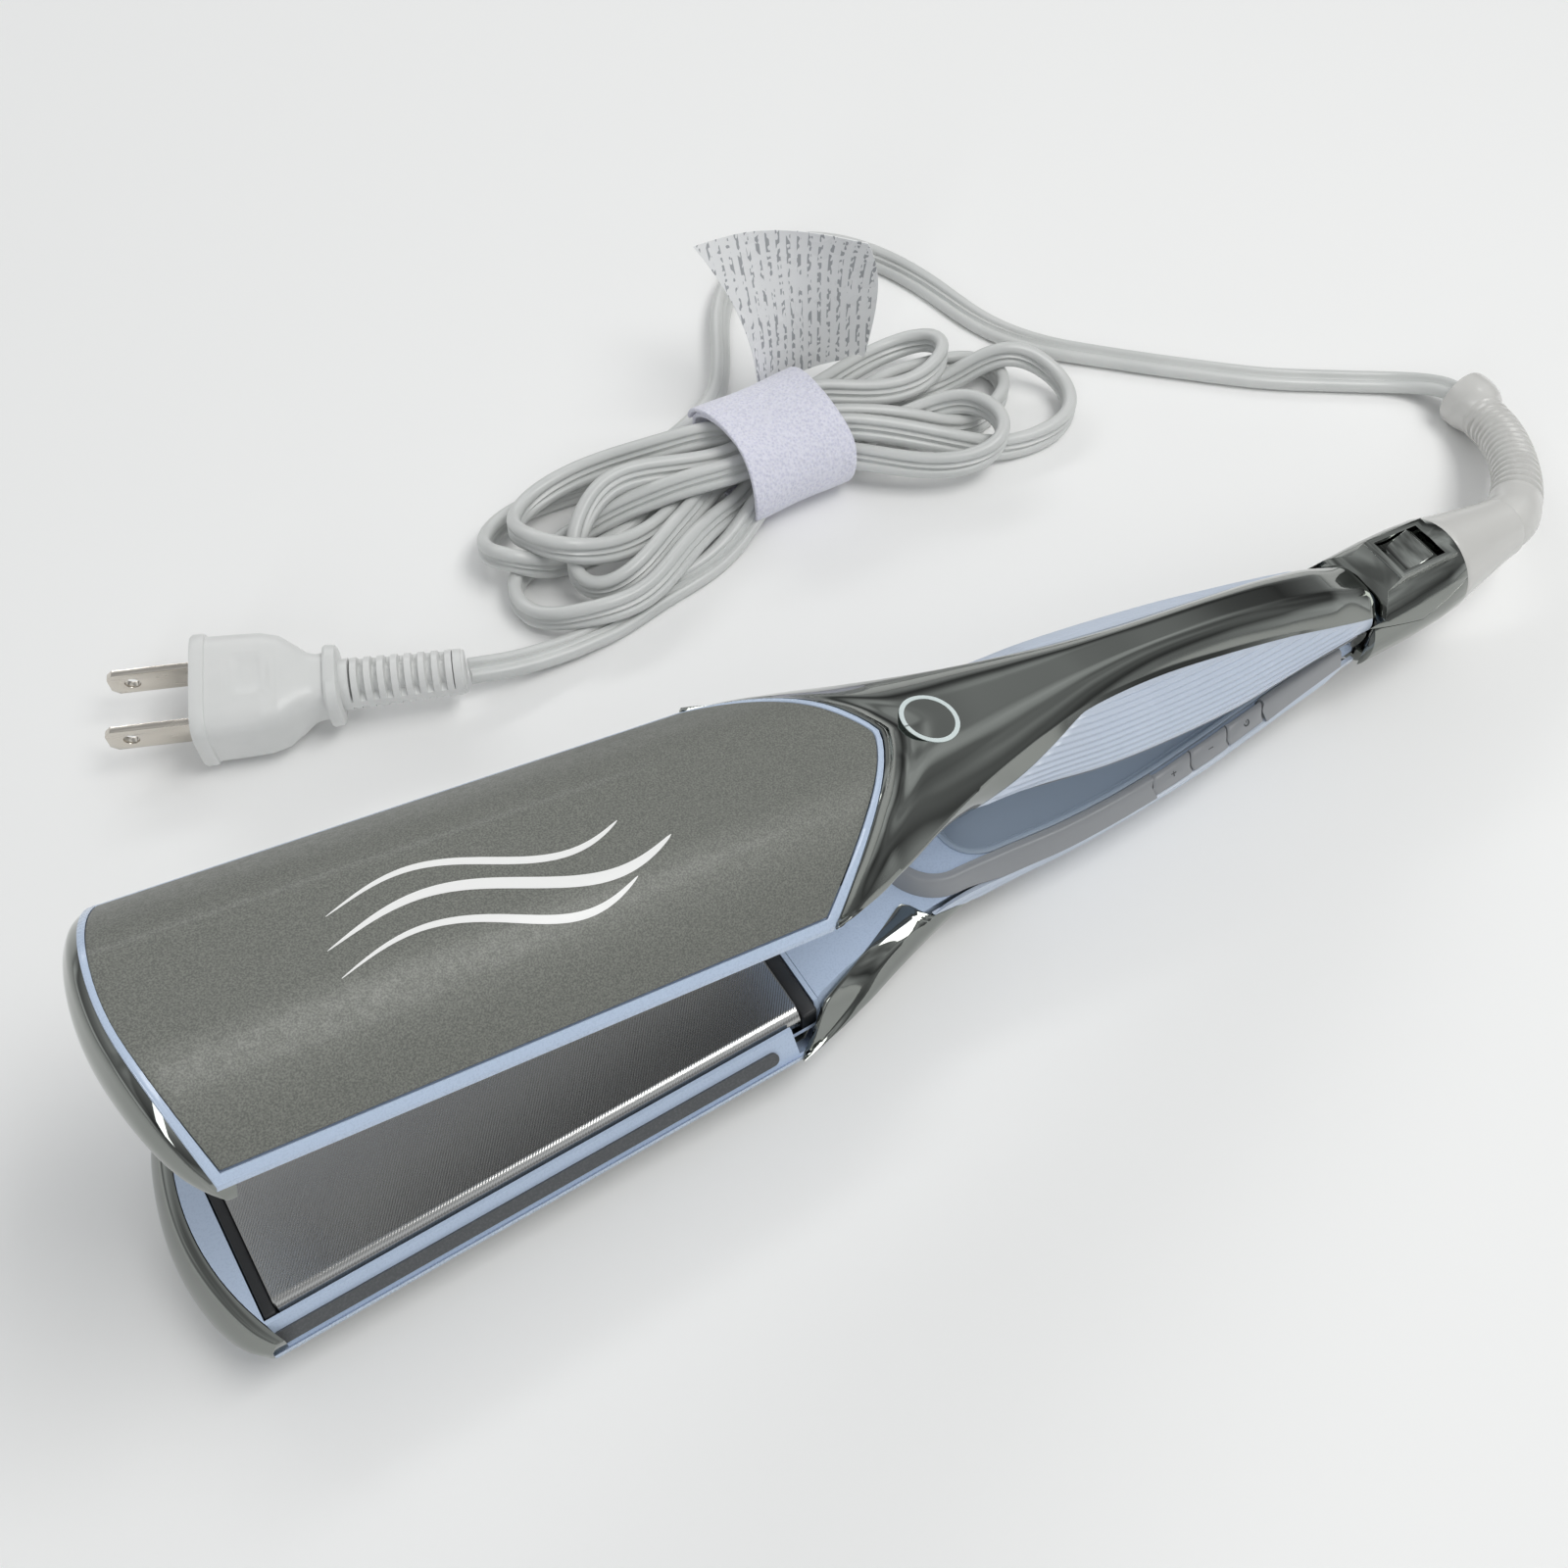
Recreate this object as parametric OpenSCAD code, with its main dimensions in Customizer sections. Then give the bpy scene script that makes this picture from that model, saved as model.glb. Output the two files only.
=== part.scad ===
// Flat iron with wide plates, lying open on a table, with its bundled flat cord and its plug.
// +X points to the nose, +Y to the side with the buttons, +Z up. The hinge axis lies along Y.
// Both arms share one design, written in the arm's own frame: z = 0 is the plane where the plates meet
// and +Z points outwards. The lower arm is that design mirrored, the upper arm is it turned open.

/* [Arms] */
// Hinge axis to the front corners of the head
nose_x = 235; // [225:1:245]
// Full width of the head
head_w = 46.8; // [46:0.2:48]
// Height of the head's crown above the closing plane
crown_z = 17; // [16.5:0.5:18]
// Angle between the two arms when open
open_angle = 12.2; // [8:0.2:13]

/* [Heater plates] */
// Length of a heater plate
plate_l = 94.6; // [80:0.2:94.6]
// Width of a heater plate
plate_w = 37.6; // [30:0.2:37.6]
// Gap between a plate's face and the closing plane
plate_gap = 0.15; // [0.1:0.05:0.4]
// How far a plate sinks on its cushions
plate_travel = 0.8; // [0.3:0.1:0.9]

/* [Hinge and controls] */
// Radius of the hinge pin
pin_r = 2; // [1.5:0.25:2.25]
// Length of one button along the handle
button_l = 9.4; // [7:0.2:9.6]
// Radius of the cap at its rear rim
cap_r = 10.1; // [10:0.1:10.6]
// Play between moving parts
play = 0.3; // [0.2:0.05:0.35]

/* [Cord] */
// Width of the flat cord
cord_w = 6; // [5:0.2:6.6]
// Thickness of the flat cord
cord_t = 3; // [2.6:0.2:3.2]
// Width of the hook-and-loop strap
strap_w = 25; // [18:1:26]

/* [Hidden] */
$fn = 48;

half_w = head_w / 2;
rim_z = 6.1;                          // height of the head's rim
rim_w = 0.9;                          // pale rim left round the panel
front_arc = 5.8;                      // rise of the head's front arc
nose_bulge = 2.2;                     // how far the nose cap stands past the rim
head_rear_x = 140;                    // rear corners of the panel
rear_arc = 21.3;                      // depth of the panel's rear arch
arch_steps = 24;                      // sides of that arch, on the panel and on the cover
rear_power = 1.4;                     // shape of the rear arch
flat_part = 0.25;                     // share of a crown that is flat in the middle
shell = 1.3;                          // wall of panels and covers
grip_t = 1.1;                         // wall of the grips
seam = 0.1;                           // gap between pieces that only touch
inner_z = 1.2;                        // inner face of the housing
inner_half_w = 19.8;                  // half width of that face at the head
neck_end_x = -46;                     // rear end of the swivel neck
mid_x = (nose_x + front_arc + nose_bulge + neck_end_x) / 2;

// Handle stations: x, half width and height of the cover's edge, height of the crown, half width and
// height of the widest line, half width of the inner face.
STATIONS = [
    [0, 7.4, 6.8, 10.3, 8.2, 4, 6],
    [12, 7.4, 9, 13.2, 9.4, 4, 7],
    [26, 6.8, 11.2, 15.4, 11.2, 4, 8.2],
    [42, 6.1, 12.6, 16.7, 13.2, 4, 9.8],
    [60, 5.8, 13.6, 17, 14.2, 4, 11.2],
    [76, 6.8, 13.7, 16.5, 14.2, 4, 11],
    [90, 9.2, 12.6, 15.6, 13, 4, 9.6],
    [102, 12.2, 11.2, 15.1, 12.6, 4, 8.8],
    [114, 16, 9.6, 15.4, 14.4, 4.4, 9.8],
    [126, 20.2, 7.8, 16.3, 18.8, 5.2, 13.8],
    [134, 22.4, 6.6, 16.8, 21.8, 5.8, 17.2],
    [140, 23.4, 6.1, 17, 23.3, 6, 19.8]];

// Smooth curve through the stations: value of one column at x.
function smooth(a, b, c, d, t) =
    b + t * ((c - a) / 2 + t * ((a - 2.5 * b + 2 * c - d / 2) + t * ((d - a) / 2 + 1.5 * (b - c))));
function station_index(x, i = 0) =
    (i >= len(STATIONS) - 2 || x < STATIONS[i + 1][0]) ? i : station_index(x, i + 1);
function station_at(x, col) =
    let (i = station_index(x), last = len(STATIONS) - 1,
        t = (x - STATIONS[i][0]) / (STATIONS[i + 1][0] - STATIONS[i][0]))
    smooth(STATIONS[max(i - 1, 0)][col], STATIONS[i][col], STATIONS[i + 1][col],
        STATIONS[min(i + 2, last)][col], t);
function edge_y(x) = station_at(x, 1);
function edge_z(x) = station_at(x, 2);
function top_z(x) = station_at(x, 3);
function wide_y(x) = station_at(x, 4);
function wide_z(x) = station_at(x, 5);
function inner_y(x) = station_at(x, 6);

// Height of a crown of half width w, from edge height e to top height t, at y.
function crown(y, w, e, t) =
    let (u = max(0, (abs(y) / w - flat_part) / (1 - flat_part))) e + (t - e) * (1 - u * u);
function head_crown(y) = crown(y, half_w, rim_z, crown_z);
function spread(n) = [for (i = [0 : n]) -1 + 2 * i / n];
function mirrored_back(pts) = [for (i = [len(pts) - 1 : -1 : 0]) [pts[i][0], -pts[i][1]]];
function mirrored_left(pts) = [for (i = [len(pts) - 1 : -1 : 0]) [-pts[i][0], pts[i][1]]];
function backwards(sections) = [for (s = sections) [for (i = [len(s) - 1 : -1 : 0]) s[i]]];
function ramp(x, x0, x1) = min(1, max(0, (x - x0) / (x1 - x0)));

// Solid through a list of closed sections with the same number of points each. A skin's section runs
// along its outside and back along its inside, so its two ends are closed by a strip of quads.
module loft(sections, skin = false) {
    n = len(sections[0]);
    m = len(sections);
    last = (m - 1) * n;
    sides = [for (i = [0 : m - 2], j = [0 : n - 1], k = [0, 1])
        let (a = i * n + j, b = i * n + (j + 1) % n) k == 0 ? [a, b, b + n] : [a, b + n, a + n]];
    strip = [for (j = [0 : n / 2 - 2], k = [0, 1])
        k == 0 ? [j, n - 1 - j, n - 2 - j] : [j, n - 2 - j, j + 1]];
    far_strip = [for (f = strip) [last + f[2], last + f[1], last + f[0]]];
    flat = [[for (j = [n - 1 : -1 : 0]) j], [for (j = [0 : n - 1]) last + j]];
    polyhedron([for (s = sections, p = s) p], concat(skin ? concat(strip, far_strip) : flat, sides),
        convexity = 6);
}

// Places of the two arms in the whole object, whose origin is on the table under the iron's middle.
module in_row() { translate([-mid_x, 0, crown_z]) children(); }
module lower_arm() { in_row() mirror([0, 0, 1]) children(); }
module upper_arm() { in_row() rotate([0, -open_angle, 0]) children(); }
module both_sides() {
    children();
    mirror([0, 1, 0]) children();
}

// ---------- head ----------

// Plan of the head, shrunk by inset all round.
module head_plan(inset = 0) {
    w = half_w - inset;
    front = [for (u = spread(20)) [nose_x - inset + front_arc * (1 - u * u), u * w]];
    rear = [for (u = spread(arch_steps)) [head_rear_x + inset - rear_arc * (1 - pow(abs(u), rear_power)), -u * w]];
    polygon(concat(front, rear));
}

// Profile across the head, run along it. With drop, all that lies more than drop below the crown.
module head_profile(drop = 0) {
    top = [for (u = spread(28)) [-u * half_w, head_crown(u * half_w) - drop]];
    low = drop > 0 ? [[-half_w, -5], [half_w, -5]] : [[-inner_half_w, inner_z], [inner_half_w, inner_z]];
    translate([60, 0, 0]) rotate([90, 0, 90]) linear_extrude(200) polygon(concat(top, low));
}

// Skin of the crown between two depths, inside the head's plan shrunk by inset.
module crown_skin(from, to, inset) {
    intersection() {
        difference() {
            if (from > 0) head_profile(from); else head_profile();
            head_profile(to);
        }
        linear_extrude(30) head_plan(inset);
    }
}

module panel() { crown_skin(0, shell, rim_w); }

window_half_w = plate_w / 2 + play;
end_block_l = 3;
front_block_l = 2;
plate_x1 = nose_x - 3.2;
plate_x0 = plate_x1 - plate_l;
window_x0 = plate_x0 - end_block_l - play;
window_x1 = plate_x1 + front_block_l + play;
pocket_z = 12.6;                      // bottom of the heater pocket
nose_wall = 2.6;                      // room taken by the nose cap behind the rim
lip_t = 1.9;                          // depth of the rim in front of the nose cap

frame_seam_x = 133;                   // where the head frame meets the handle frame

module nose_back_plan() {
    front = [for (u = spread(20)) [nose_x - nose_wall + front_arc * (1 - u * u), u * half_w]];
    polygon(concat(front, [[head_rear_x, half_w], [head_rear_x, -half_w]]));
}

// Half section of the tongue that joins the head frame to the handle frame, inside the cover.
TONGUE = [[12, 12.4], [17.5, 8], [19.4, 5.6], [17, inner_z]];
module head_frame() {
    difference() {
        union() {
            intersection() {
                head_profile();
                linear_extrude(30) nose_back_plan();
            }
            crown_skin(0, lip_t, 0);
            translate([frame_seam_x, 0, 0]) rotate([90, 0, 90]) linear_extrude(head_rear_x - frame_seam_x + 1)
                polygon(concat(TONGUE, mirrored_left(TONGUE)));
        }
        translate([0, 0, shell]) crown_skin(0, shell + seam, rim_w - 0.05);
        crown_skin(0, shell + seam, rim_w - 0.05);
        translate([window_x0, -window_half_w, -1])
            cube([window_x1 - window_x0, 2 * window_half_w, pocket_z + 1]);
    }
}

// The nose cap's section swells between the rim and the inner face.
nose_steps = 10;
module nose_cap() {
    sections = [for (u = spread(20))
        let (y = u * half_w, x0 = nose_x + front_arc * (1 - u * u), z1 = head_crown(y) - lip_t - seam,
            swell = nose_bulge * (1 - pow(u, 8)) + 0.3)
        concat([for (i = [0 : nose_steps]) let (a = 180 * i / nose_steps)
                [x0 + swell * sin(a) - 0.7 * (1 - cos(a)), y, z1 + (inner_z - z1) * i / nose_steps]],
            [[x0 - nose_wall + seam, y, inner_z], [x0 - nose_wall + seam, y, z1]])];
    intersection() {
        loft(backwards(sections));
        head_profile();
    }
}

strip_half_w = 1.2;
strip_l = 88;
strip_t = 0.5;
strip_x0 = head_rear_x + 5;
module side_strips() {
    slope = atan2(rim_z - inner_z, half_w - inner_half_w);
    both_sides()
        translate([strip_x0, (half_w + inner_half_w) / 2, (rim_z + inner_z) / 2])
            rotate([slope, 0, 0]) translate([0, 0, -strip_t / 2 - 0.03]) {
                translate([0, -strip_half_w, -strip_t / 2]) cube([strip_l, 2 * strip_half_w, strip_t]);
                for (x = [0, strip_l]) translate([x, 0, 0]) cylinder(r = strip_half_w, h = strip_t, center = true);
            }
}

// ---------- heater plates ----------

plate_t = 3.4;
plate_edge_r = 2.4;
module plate() {
    w = plate_w / 2;
    corner = [for (a = [0 : 15 : 90])
        [w - plate_edge_r * (1 - cos(a)), plate_gap + plate_edge_r * (1 - sin(a))]];
    side = concat([[w, plate_t]], corner);
    translate([plate_x0, 0, 0]) rotate([90, 0, 90]) linear_extrude(plate_l)
        polygon(concat(side, mirrored_left(side)));
}

module plate_ends() {
    translate([plate_x0 - end_block_l, -plate_w / 2, 0.9]) cube([end_block_l - 0.05, plate_w, 5]);
    translate([plate_x1 + 0.05, -plate_w / 2, 0.9]) cube([front_block_l, plate_w, 5]);
}

heater_t = 1.6;
module heater() {
    translate([plate_x0 + 8, -10, plate_t + 0.05]) cube([plate_l - 16, 20, heater_t]);
}

module heat_sensor() {
    translate([(plate_x0 + plate_x1) / 2, 14, plate_t + 0.05]) {
        translate([-4, -2.5, 0]) cube([8, 5, 1]);
        translate([0, 0, 1]) cylinder(r = 1.6, h = 0.6);
    }
}

// Silicone cushions under the heater, clear of it by the plate's travel.
cushion_z = plate_t + 0.05 + heater_t + plate_travel + 0.1;
module cushions() {
    for (x = [plate_x0 + 18, plate_x1 - 30])
        translate([x, -8, cushion_z]) cube([12, 16, pocket_z - cushion_z - seam]);
}

// ---------- handle ----------

// Section of the handle frame, which stays inside the cover and the grips.
body_steps = 12;
function body_gap(x) = shell + 0.25 + 0.7 * ramp(x, 104, 114);
function body_section(x) =
    let (gap = body_gap(x), w = edge_y(x) - gap, e = edge_z(x) - gap / 2, t = top_z(x) - gap,
        top = [for (i = [0 : body_steps]) let (y = w * (1 - 2 * i / body_steps)) [x, y, crown(y, w, e, t)]])
    concat([[x, inner_y(x), inner_z], [x, wide_y(x) - gap, wide_z(x)]], top,
        [[x, -wide_y(x) + gap, wide_z(x)], [x, -inner_y(x), inner_z]]);

cavity_x0 = 16;
cavity_x1 = 96;
cavity_top = 10;
cavity_wall = 1.6;

// Plan of the recess inside the handle, shrunk by inset.
module recess_plan(inset = 0) {
    nose_r = inner_y(cavity_x1 - 8) - cavity_wall;
    side = [for (x = [cavity_x0 + inset : 8 : cavity_x1 - 8]) [x, inner_y(x) - cavity_wall - inset]];
    tip = [for (a = [75 : -15 : 0])
        [cavity_x1 - 8 + (8 - inset) * cos(a), (nose_r - inset) * pow(sin(a), 0.7)]];
    polygon(concat(side, tip, mirrored_back(concat(side, tip))));
}

screw_x = 118;
screw_y = 6;
screw_z = 3.4;                         // sunk below the deck
screw_head_r = 2.1;
screw_shank_r = 1.1;
module at_screws() { both_sides() translate([screw_x, screw_y, 0]) children(); }
module screws() {
    at_screws() difference() {
        union() {
            translate([0, 0, screw_z + 0.4]) cylinder(r = screw_head_r, h = 1.2);
            translate([0, 0, screw_z + 1.5]) cylinder(r = screw_shank_r, h = 5.8);
        }
        translate([-1.4, -0.3, screw_z]) cube([2.8, 0.6, 1]);
        translate([-0.3, -1.4, screw_z]) cube([0.6, 2.8, 1]);
    }
}

// In front of the trim band the inner face is a deck that lies lower and rises again to the head.
deck_z = 3.9;
deck_x = 113;
module deck_cut() {
    rotate([90, 0, 0]) translate([0, 0, -30]) linear_extrude(60)
        polygon([[96, -1], [96, deck_z], [deck_x, deck_z], [frame_seam_x - 1, inner_z], [frame_seam_x - 1, -1]]);
}
module band_plan(gap) {
    side = [for (x = [60 : 8 : 92]) [x, inner_y(x) + 6]];
    front = [for (t = [75 : -15 : 0])
        [band_x1 + (band_front + band_lip + gap) * cos(t), (inner_y(band_x1) + band_lip + gap) * sin(t)]];
    polygon(concat(side, front, mirrored_back(concat(side, front))));
}

frame_steps = 19;
module handle_frame() {
    difference() {
        loft(backwards([for (i = [0 : frame_steps]) body_section((frame_seam_x - seam) * i / frame_steps)]));
        translate([0, 0, -1]) linear_extrude(cavity_top + 1) recess_plan();
        difference() {
            deck_cut();
            translate([0, 0, -2]) linear_extrude(10) band_plan(0);
        }
        at_screws() {
            translate([0, 0, -1]) cylinder(r = screw_head_r + seam, h = screw_z + 2.7);
            cylinder(r = screw_shank_r + seam, h = screw_z + 7.5);
        }
        children();
    }
}

// The cover runs from its rear edge (s = 0) to the arch of the panel (s = 1). Column u crosses it. Along
// the grips its border runs down the wall, and in front of them it reaches the widest line.
cover_rows = 24;
arch_gap = 0.15;
function arch_x(u) = head_rear_x - rear_arc * (1 - pow(abs(u), rear_power)) - arch_gap;
function column_v(u) = u * half_w / edge_y(arch_x(u));
function wall_share(x) = max(0.08, pow(ramp(x, 75, 109), 1.4) * (1 - 0.8 * ramp(x, 130, 141)));
function crown_point(s, u, depth) =
    let (x = s * arch_x(u), w = edge_y(x), inset = depth * (1 - pow(s, 4) * (1 - pow(abs(u), 12))),
        y = column_v(u) * (w - inset))
    [x, y, crown(y, w - inset, edge_z(x) - depth / 3, top_z(x) - depth)];
function border(x) =
    let (e = [edge_y(x), edge_z(x)]) e + ([wide_y(x), wide_z(x)] - e) * wall_share(x);
function wall_point(s, side, share, depth) =
    let (x = s * arch_x(1), e = [edge_y(x), edge_z(x)], p = e + (border(x) - e) * share)
    [x, side * (p[0] - depth), p[1]];
function cover_section(s) = concat(
    [wall_point(s, 1, 1, 0), wall_point(s, 1, 0.5, 0)],
    [for (u = spread(arch_steps)) crown_point(s, -u, 0)],
    [wall_point(s, -1, 0.5, 0), wall_point(s, -1, 1, 0), wall_point(s, -1, 1, shell),
        wall_point(s, -1, 0.5, shell)],
    [for (u = spread(arch_steps)) crown_point(s, u, shell)],
    [wall_point(s, 1, 0.5, shell), wall_point(s, 1, 1, shell)]);
module cover() {
    loft(backwards([for (i = [0 : cover_rows]) cover_section(i / cover_rows)]), skin = true);
}

ring_x = 107.8;
ring_r = 5.1;
ring_w = 0.8;
ring_t = 0.25;
module ring() {
    translate([ring_x, 0, top_z(ring_x) + 0.2]) difference() {
        cylinder(r = ring_r, h = ring_t);
        translate([0, 0, -1]) cylinder(r = ring_r - ring_w, h = 3);
    }
}

// Ribbed side grips, swollen between the cover's edge and the widest line.
grip_steps = 6;
grip_x0 = 3;
grip_x1 = 103;
grip_swell = 0.9;
function grip_point(x, t, depth) =
    let (w = border(x)[0], e = border(x)[1] - 0.2, v = wide_y(x), f = wide_z(x) + seam,
        d = [v - w, f - e], n = [-d[1], d[0]] / norm(d), s = grip_swell * (e - f) / 9 * 4 * t * (1 - t) - depth)
    [x, w + d[0] * t + n[0] * s, max(f, e + d[1] * t + n[1] * s)];
module grips() {
    both_sides() loft([for (x = [grip_x0 : 5 : grip_x1]) concat(
        [for (i = [0 : grip_steps]) grip_point(x, i / grip_steps, 0)],
        [for (i = [grip_steps : -1 : 0]) grip_point(x, i / grip_steps, grip_t)])], skin = true);
}

// Trim band round the recess: it covers the slanted side from the widest line to the edge of the
// recess, and fades to a flat rim round the front.
band_z = 0.5;
band_lip = 0.9;                       // flat rim outside the recess's edge
band_x0 = 5;
band_x1 = 98;
band_front = 8;                       // length of the rounded front
band_rows = 14;
function band_spread(x) = max(0.1, 1 - ramp(x, 88, band_x1));
function band_ring(x) =
    let (b = inner_y(x), c = inner_z - 0.15, k = band_spread(x), a = wide_y(x) - b)
    [[band_lip + (a - band_lip) * k, band_z + (wide_z(x) - band_z) * max(k, 0.15)], [band_lip, band_z],
        [0, band_z], [0, c],
        [max((a - shell + 0.2) * k, 0.3), c + (wide_z(x) - c) * (k - 0.1) / 0.9]];
function band_side(x, side) =
    [for (p = band_ring(x)) [x, side * (inner_y(x) + p[0]), p[1]]];
function band_turn(t) =
    let (b = inner_y(band_x1), n = unit([cos(t) * b, sin(t) * band_front]))
    [for (p = band_ring(band_x1))
        [band_x1 + band_front * cos(t) + n[0] * p[0], b * sin(t) + n[1] * p[0], p[1]]];
function band_run(x0, x1, side) = [for (i = [0 : band_rows]) band_side(x0 + (x1 - x0) * i / band_rows, side)];
module band_from(x0) {
    loft(concat(band_run(x0, band_x1, 1), [for (t = [75 : -15 : -75]) band_turn(t)],
        band_run(band_x1, band_x0, -1)));
}

buttons_x0 = 26.5;
buttons_x1 = buttons_x0 + 3 * (button_l + play) + play;
module trim_band(with_buttons) {
    if (with_buttons) {
        band_from(buttons_x1);
        loft(band_run(band_x0, buttons_x0, 1));
    } else {
        band_from(band_x0);
    }
}

// The buttons lie in the band and are pressed square to the slanted side.
button_press = [0, -0.768, 0.64];
button_share = 0.86;                  // share of the slanted side that a button covers
button_stroke = 0.4;
function button_section(x) =
    let (b = inner_y(x), a = wide_y(x) - b - band_lip, z = wide_z(x) - band_z)
    [[x, b + band_lip + a * button_share, band_z + z * button_share], [x, b + band_lip, band_z],
        [x, b, band_z], [x, b + 0.2, inner_z - seam],
        [x, b + a * button_share, band_z + z * button_share]];
module button_solid(x0, x1) {
    loft([for (i = [0 : 2]) button_section(x0 + (x1 - x0) * i / 2)]);
}
module button(i) {
    x0 = buttons_x0 + play + i * (button_l + play);
    button_solid(x0, x0 + button_l);
}
module button_room() {
    for (side = [0, 1]) translate([0, side * -0.3, 0]) hull() {
        button_solid(buttons_x0, buttons_x1);
        translate(button_press * (button_stroke + 0.5)) button_solid(buttons_x0, buttons_x1);
    }
}

floor_z = 5;
floor_t = 1.2;
step_w = 1.6;
step_z = 2.6;
module inner_floor() {
    translate([0, 0, step_z]) linear_extrude(floor_z + floor_t - step_z) difference() {
        recess_plan(seam);
        recess_plan(step_w);
    }
    translate([0, 0, floor_z]) linear_extrude(floor_t) recess_plan(seam);
}

// ---------- inside the lower handle ----------

module circuit_board() {
    translate([30, -5, 7.6]) cube([54, 10, 1.4]);
    for (x = [40, 50, 58]) translate([x, -3, 6.5]) cube([5, 6, 1.05]);
    translate([70, 0, 6.4]) cylinder(r = 2.6, h = 1.15);
}

function button_mid(i) = buttons_x0 + play + i * (button_l + play) + button_l / 2;
module button_switches() {
    for (i = [0 : 2]) translate([button_mid(i), 6.2, 7]) {
        translate([-2.5, -1.1, 0]) cube([5, 1.6, 2.6]);
    }
}

// ---------- hinge ----------

lug_r = 4;
bore_gap = 0.05;
knuckle_y0 = -3;
knuckle_y1 = 0.6;
lug_y0 = 3.3;
lug_y1 = 5.6;
tongue_l = 12;
tongue_t = 3.2;

module along_y(y0, y1, r) { translate([0, y0, 0]) rotate([-90, 0, 0]) cylinder(r = r, h = y1 - y0); }

module hinge_pin() { in_row() along_y(-7, 7, pin_r); }

module hinge_knuckle() {
    difference() {
        union() {
            along_y(knuckle_y0, knuckle_y1, lug_r);
            translate([0, knuckle_y0, inner_z + 0.2])
                cube([tongue_l, knuckle_y1 - knuckle_y0, tongue_t - 0.4]);
        }
        along_y(-9, 9, pin_r + bore_gap);
    }
}
module pin_room() { along_y(-7.2, 7.2, pin_r + 0.2); }
module knuckle_room() {
    pin_room();
    translate([-1, knuckle_y0 - seam, 0])
        cube([tongue_l + 1 + seam, knuckle_y1 - knuckle_y0 + 2 * seam, inner_z + tongue_t]);
    along_y(-6, 6, lug_r + 0.4);
}

bracket_z = 5.8;
leg_x0 = -2.2;
module hinge_bracket() {
    difference() {
        union() {
            both_sides() {
                along_y(lug_y0, lug_y1, lug_r);
                translate([leg_x0, lug_y0, 0]) cube([lug_r - leg_x0, lug_y1 - lug_y0, bracket_z + 0.1]);
            }
            translate([-10, -lug_y1, bracket_z]) cube([18, 2 * lug_y1, 1.2]);
        }
        along_y(-9, 9, pin_r + bore_gap);
    }
}
module lower_handle_frame() {
    handle_frame() {
        bracket_room();
        button_room();
    }
}
module bracket_room() {
    pin_room();
    translate([-1, -lug_y1 - 0.2, -1]) cube([9.2, 2 * lug_y1 + 0.4, bracket_z + 2.3]);
}

spring_wire_r = 0.4;
spring_r = 2.95;
module hinge_spring() {
    for (i = [0, 1]) translate([0, 1.6 + i * 0.95, 0]) rotate([-90, 0, 0])
        rotate_extrude() translate([spring_r, 0]) circle(r = spring_wire_r);
}

// The cap is a barrel on the closing plane with a raised platform on top.
cap_x0 = -25.7;
cap_mid_r = 10.9;
cap_front_r = 10.7;
cap_hollow_r = 8.6;
cap_front_x = -2.4;
module cap_barrel() {
    rotate([0, 90, 0]) rotate_extrude() polygon([[0, cap_x0], [cap_r, cap_x0], [10.6, -20], [cap_mid_r, -12],
        [cap_front_r, 2], [0, 2]]);
}
platform_half_w = 5.3;
platform_z = 12;
module cap_platform() {
    rotate([90, 0, 0]) translate([0, 0, -platform_half_w]) linear_extrude(2 * platform_half_w)
        polygon([[-24, 5], [-24, 10], [-9, platform_z], [-7.6, platform_z - 0.4], [-5, 9.4], [-5, 5]]);
}
slot_x0 = -21.5;
slot_x1 = -9.6;
slot_half_w = 4.2;
slider_travel = 3;
module cap_slot() {
    translate([slot_x0, -slot_half_w, 8.2]) cube([slot_x1 - slot_x0, 2 * slot_half_w, 8]);
    translate([slot_x0 + 2, -2, 5]) cube([slot_x1 - slot_x0 - 4, 4, 8]);
}
// Side view of what the two arms' ends and their swing need.
module arm_swing() {
    rotate([90, 0, 0]) translate([0, 0, -8.9]) linear_extrude(17.8)
        polygon([[cap_front_x, -11.5], [cap_front_x, 5], [-4, 8], [-8, 11.6], [-8, 14], [4, 14], [4, -11.5]]);
}
// Side view of the upper half of the cap, down to its seam.
module cap_upper_side(gap) {
    rotate([90, 0, 0]) translate([0, 0, -15]) linear_extrude(30)
        polygon([[-30, 6.2 + gap], [cap_x0, 5 + gap], [-13, 2 + gap], [0, 5.6 + gap], [5, 7 + gap],
            [5, 20], [-30, 20]]);
}
ball_x = -18;
ball_r = 7;
module cap_rooms() {
    arm_swing();
    along_y(-7.2, 7.2, lug_r + 1);
    translate([-10.4, -6, -7.3]) cube([11, 12, 1.8]);
    translate([ball_x, 0, 0]) sphere(r = ball_r + play);
    translate([cap_x0 - 1, 0, 0]) rotate([0, 90, 0]) cylinder(r = 6.2 + play, h = 6);
}
module hinge_cap() {
    difference() {
        union() {
            cap_barrel();
            cap_platform();
        }
        difference() {
            translate([-40, -20, -20]) cube([60, 40, 40]);
            cap_upper_side(0);
        }
        cap_rooms();
        cap_slot();
    }
}
module hinge_cap_base() {
    difference() {
        cap_barrel();
        cap_upper_side(-seam);
        cap_rooms();
        translate([-0.1, -20, -20]) cube([10, 40, 40]);
    }
}

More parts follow.
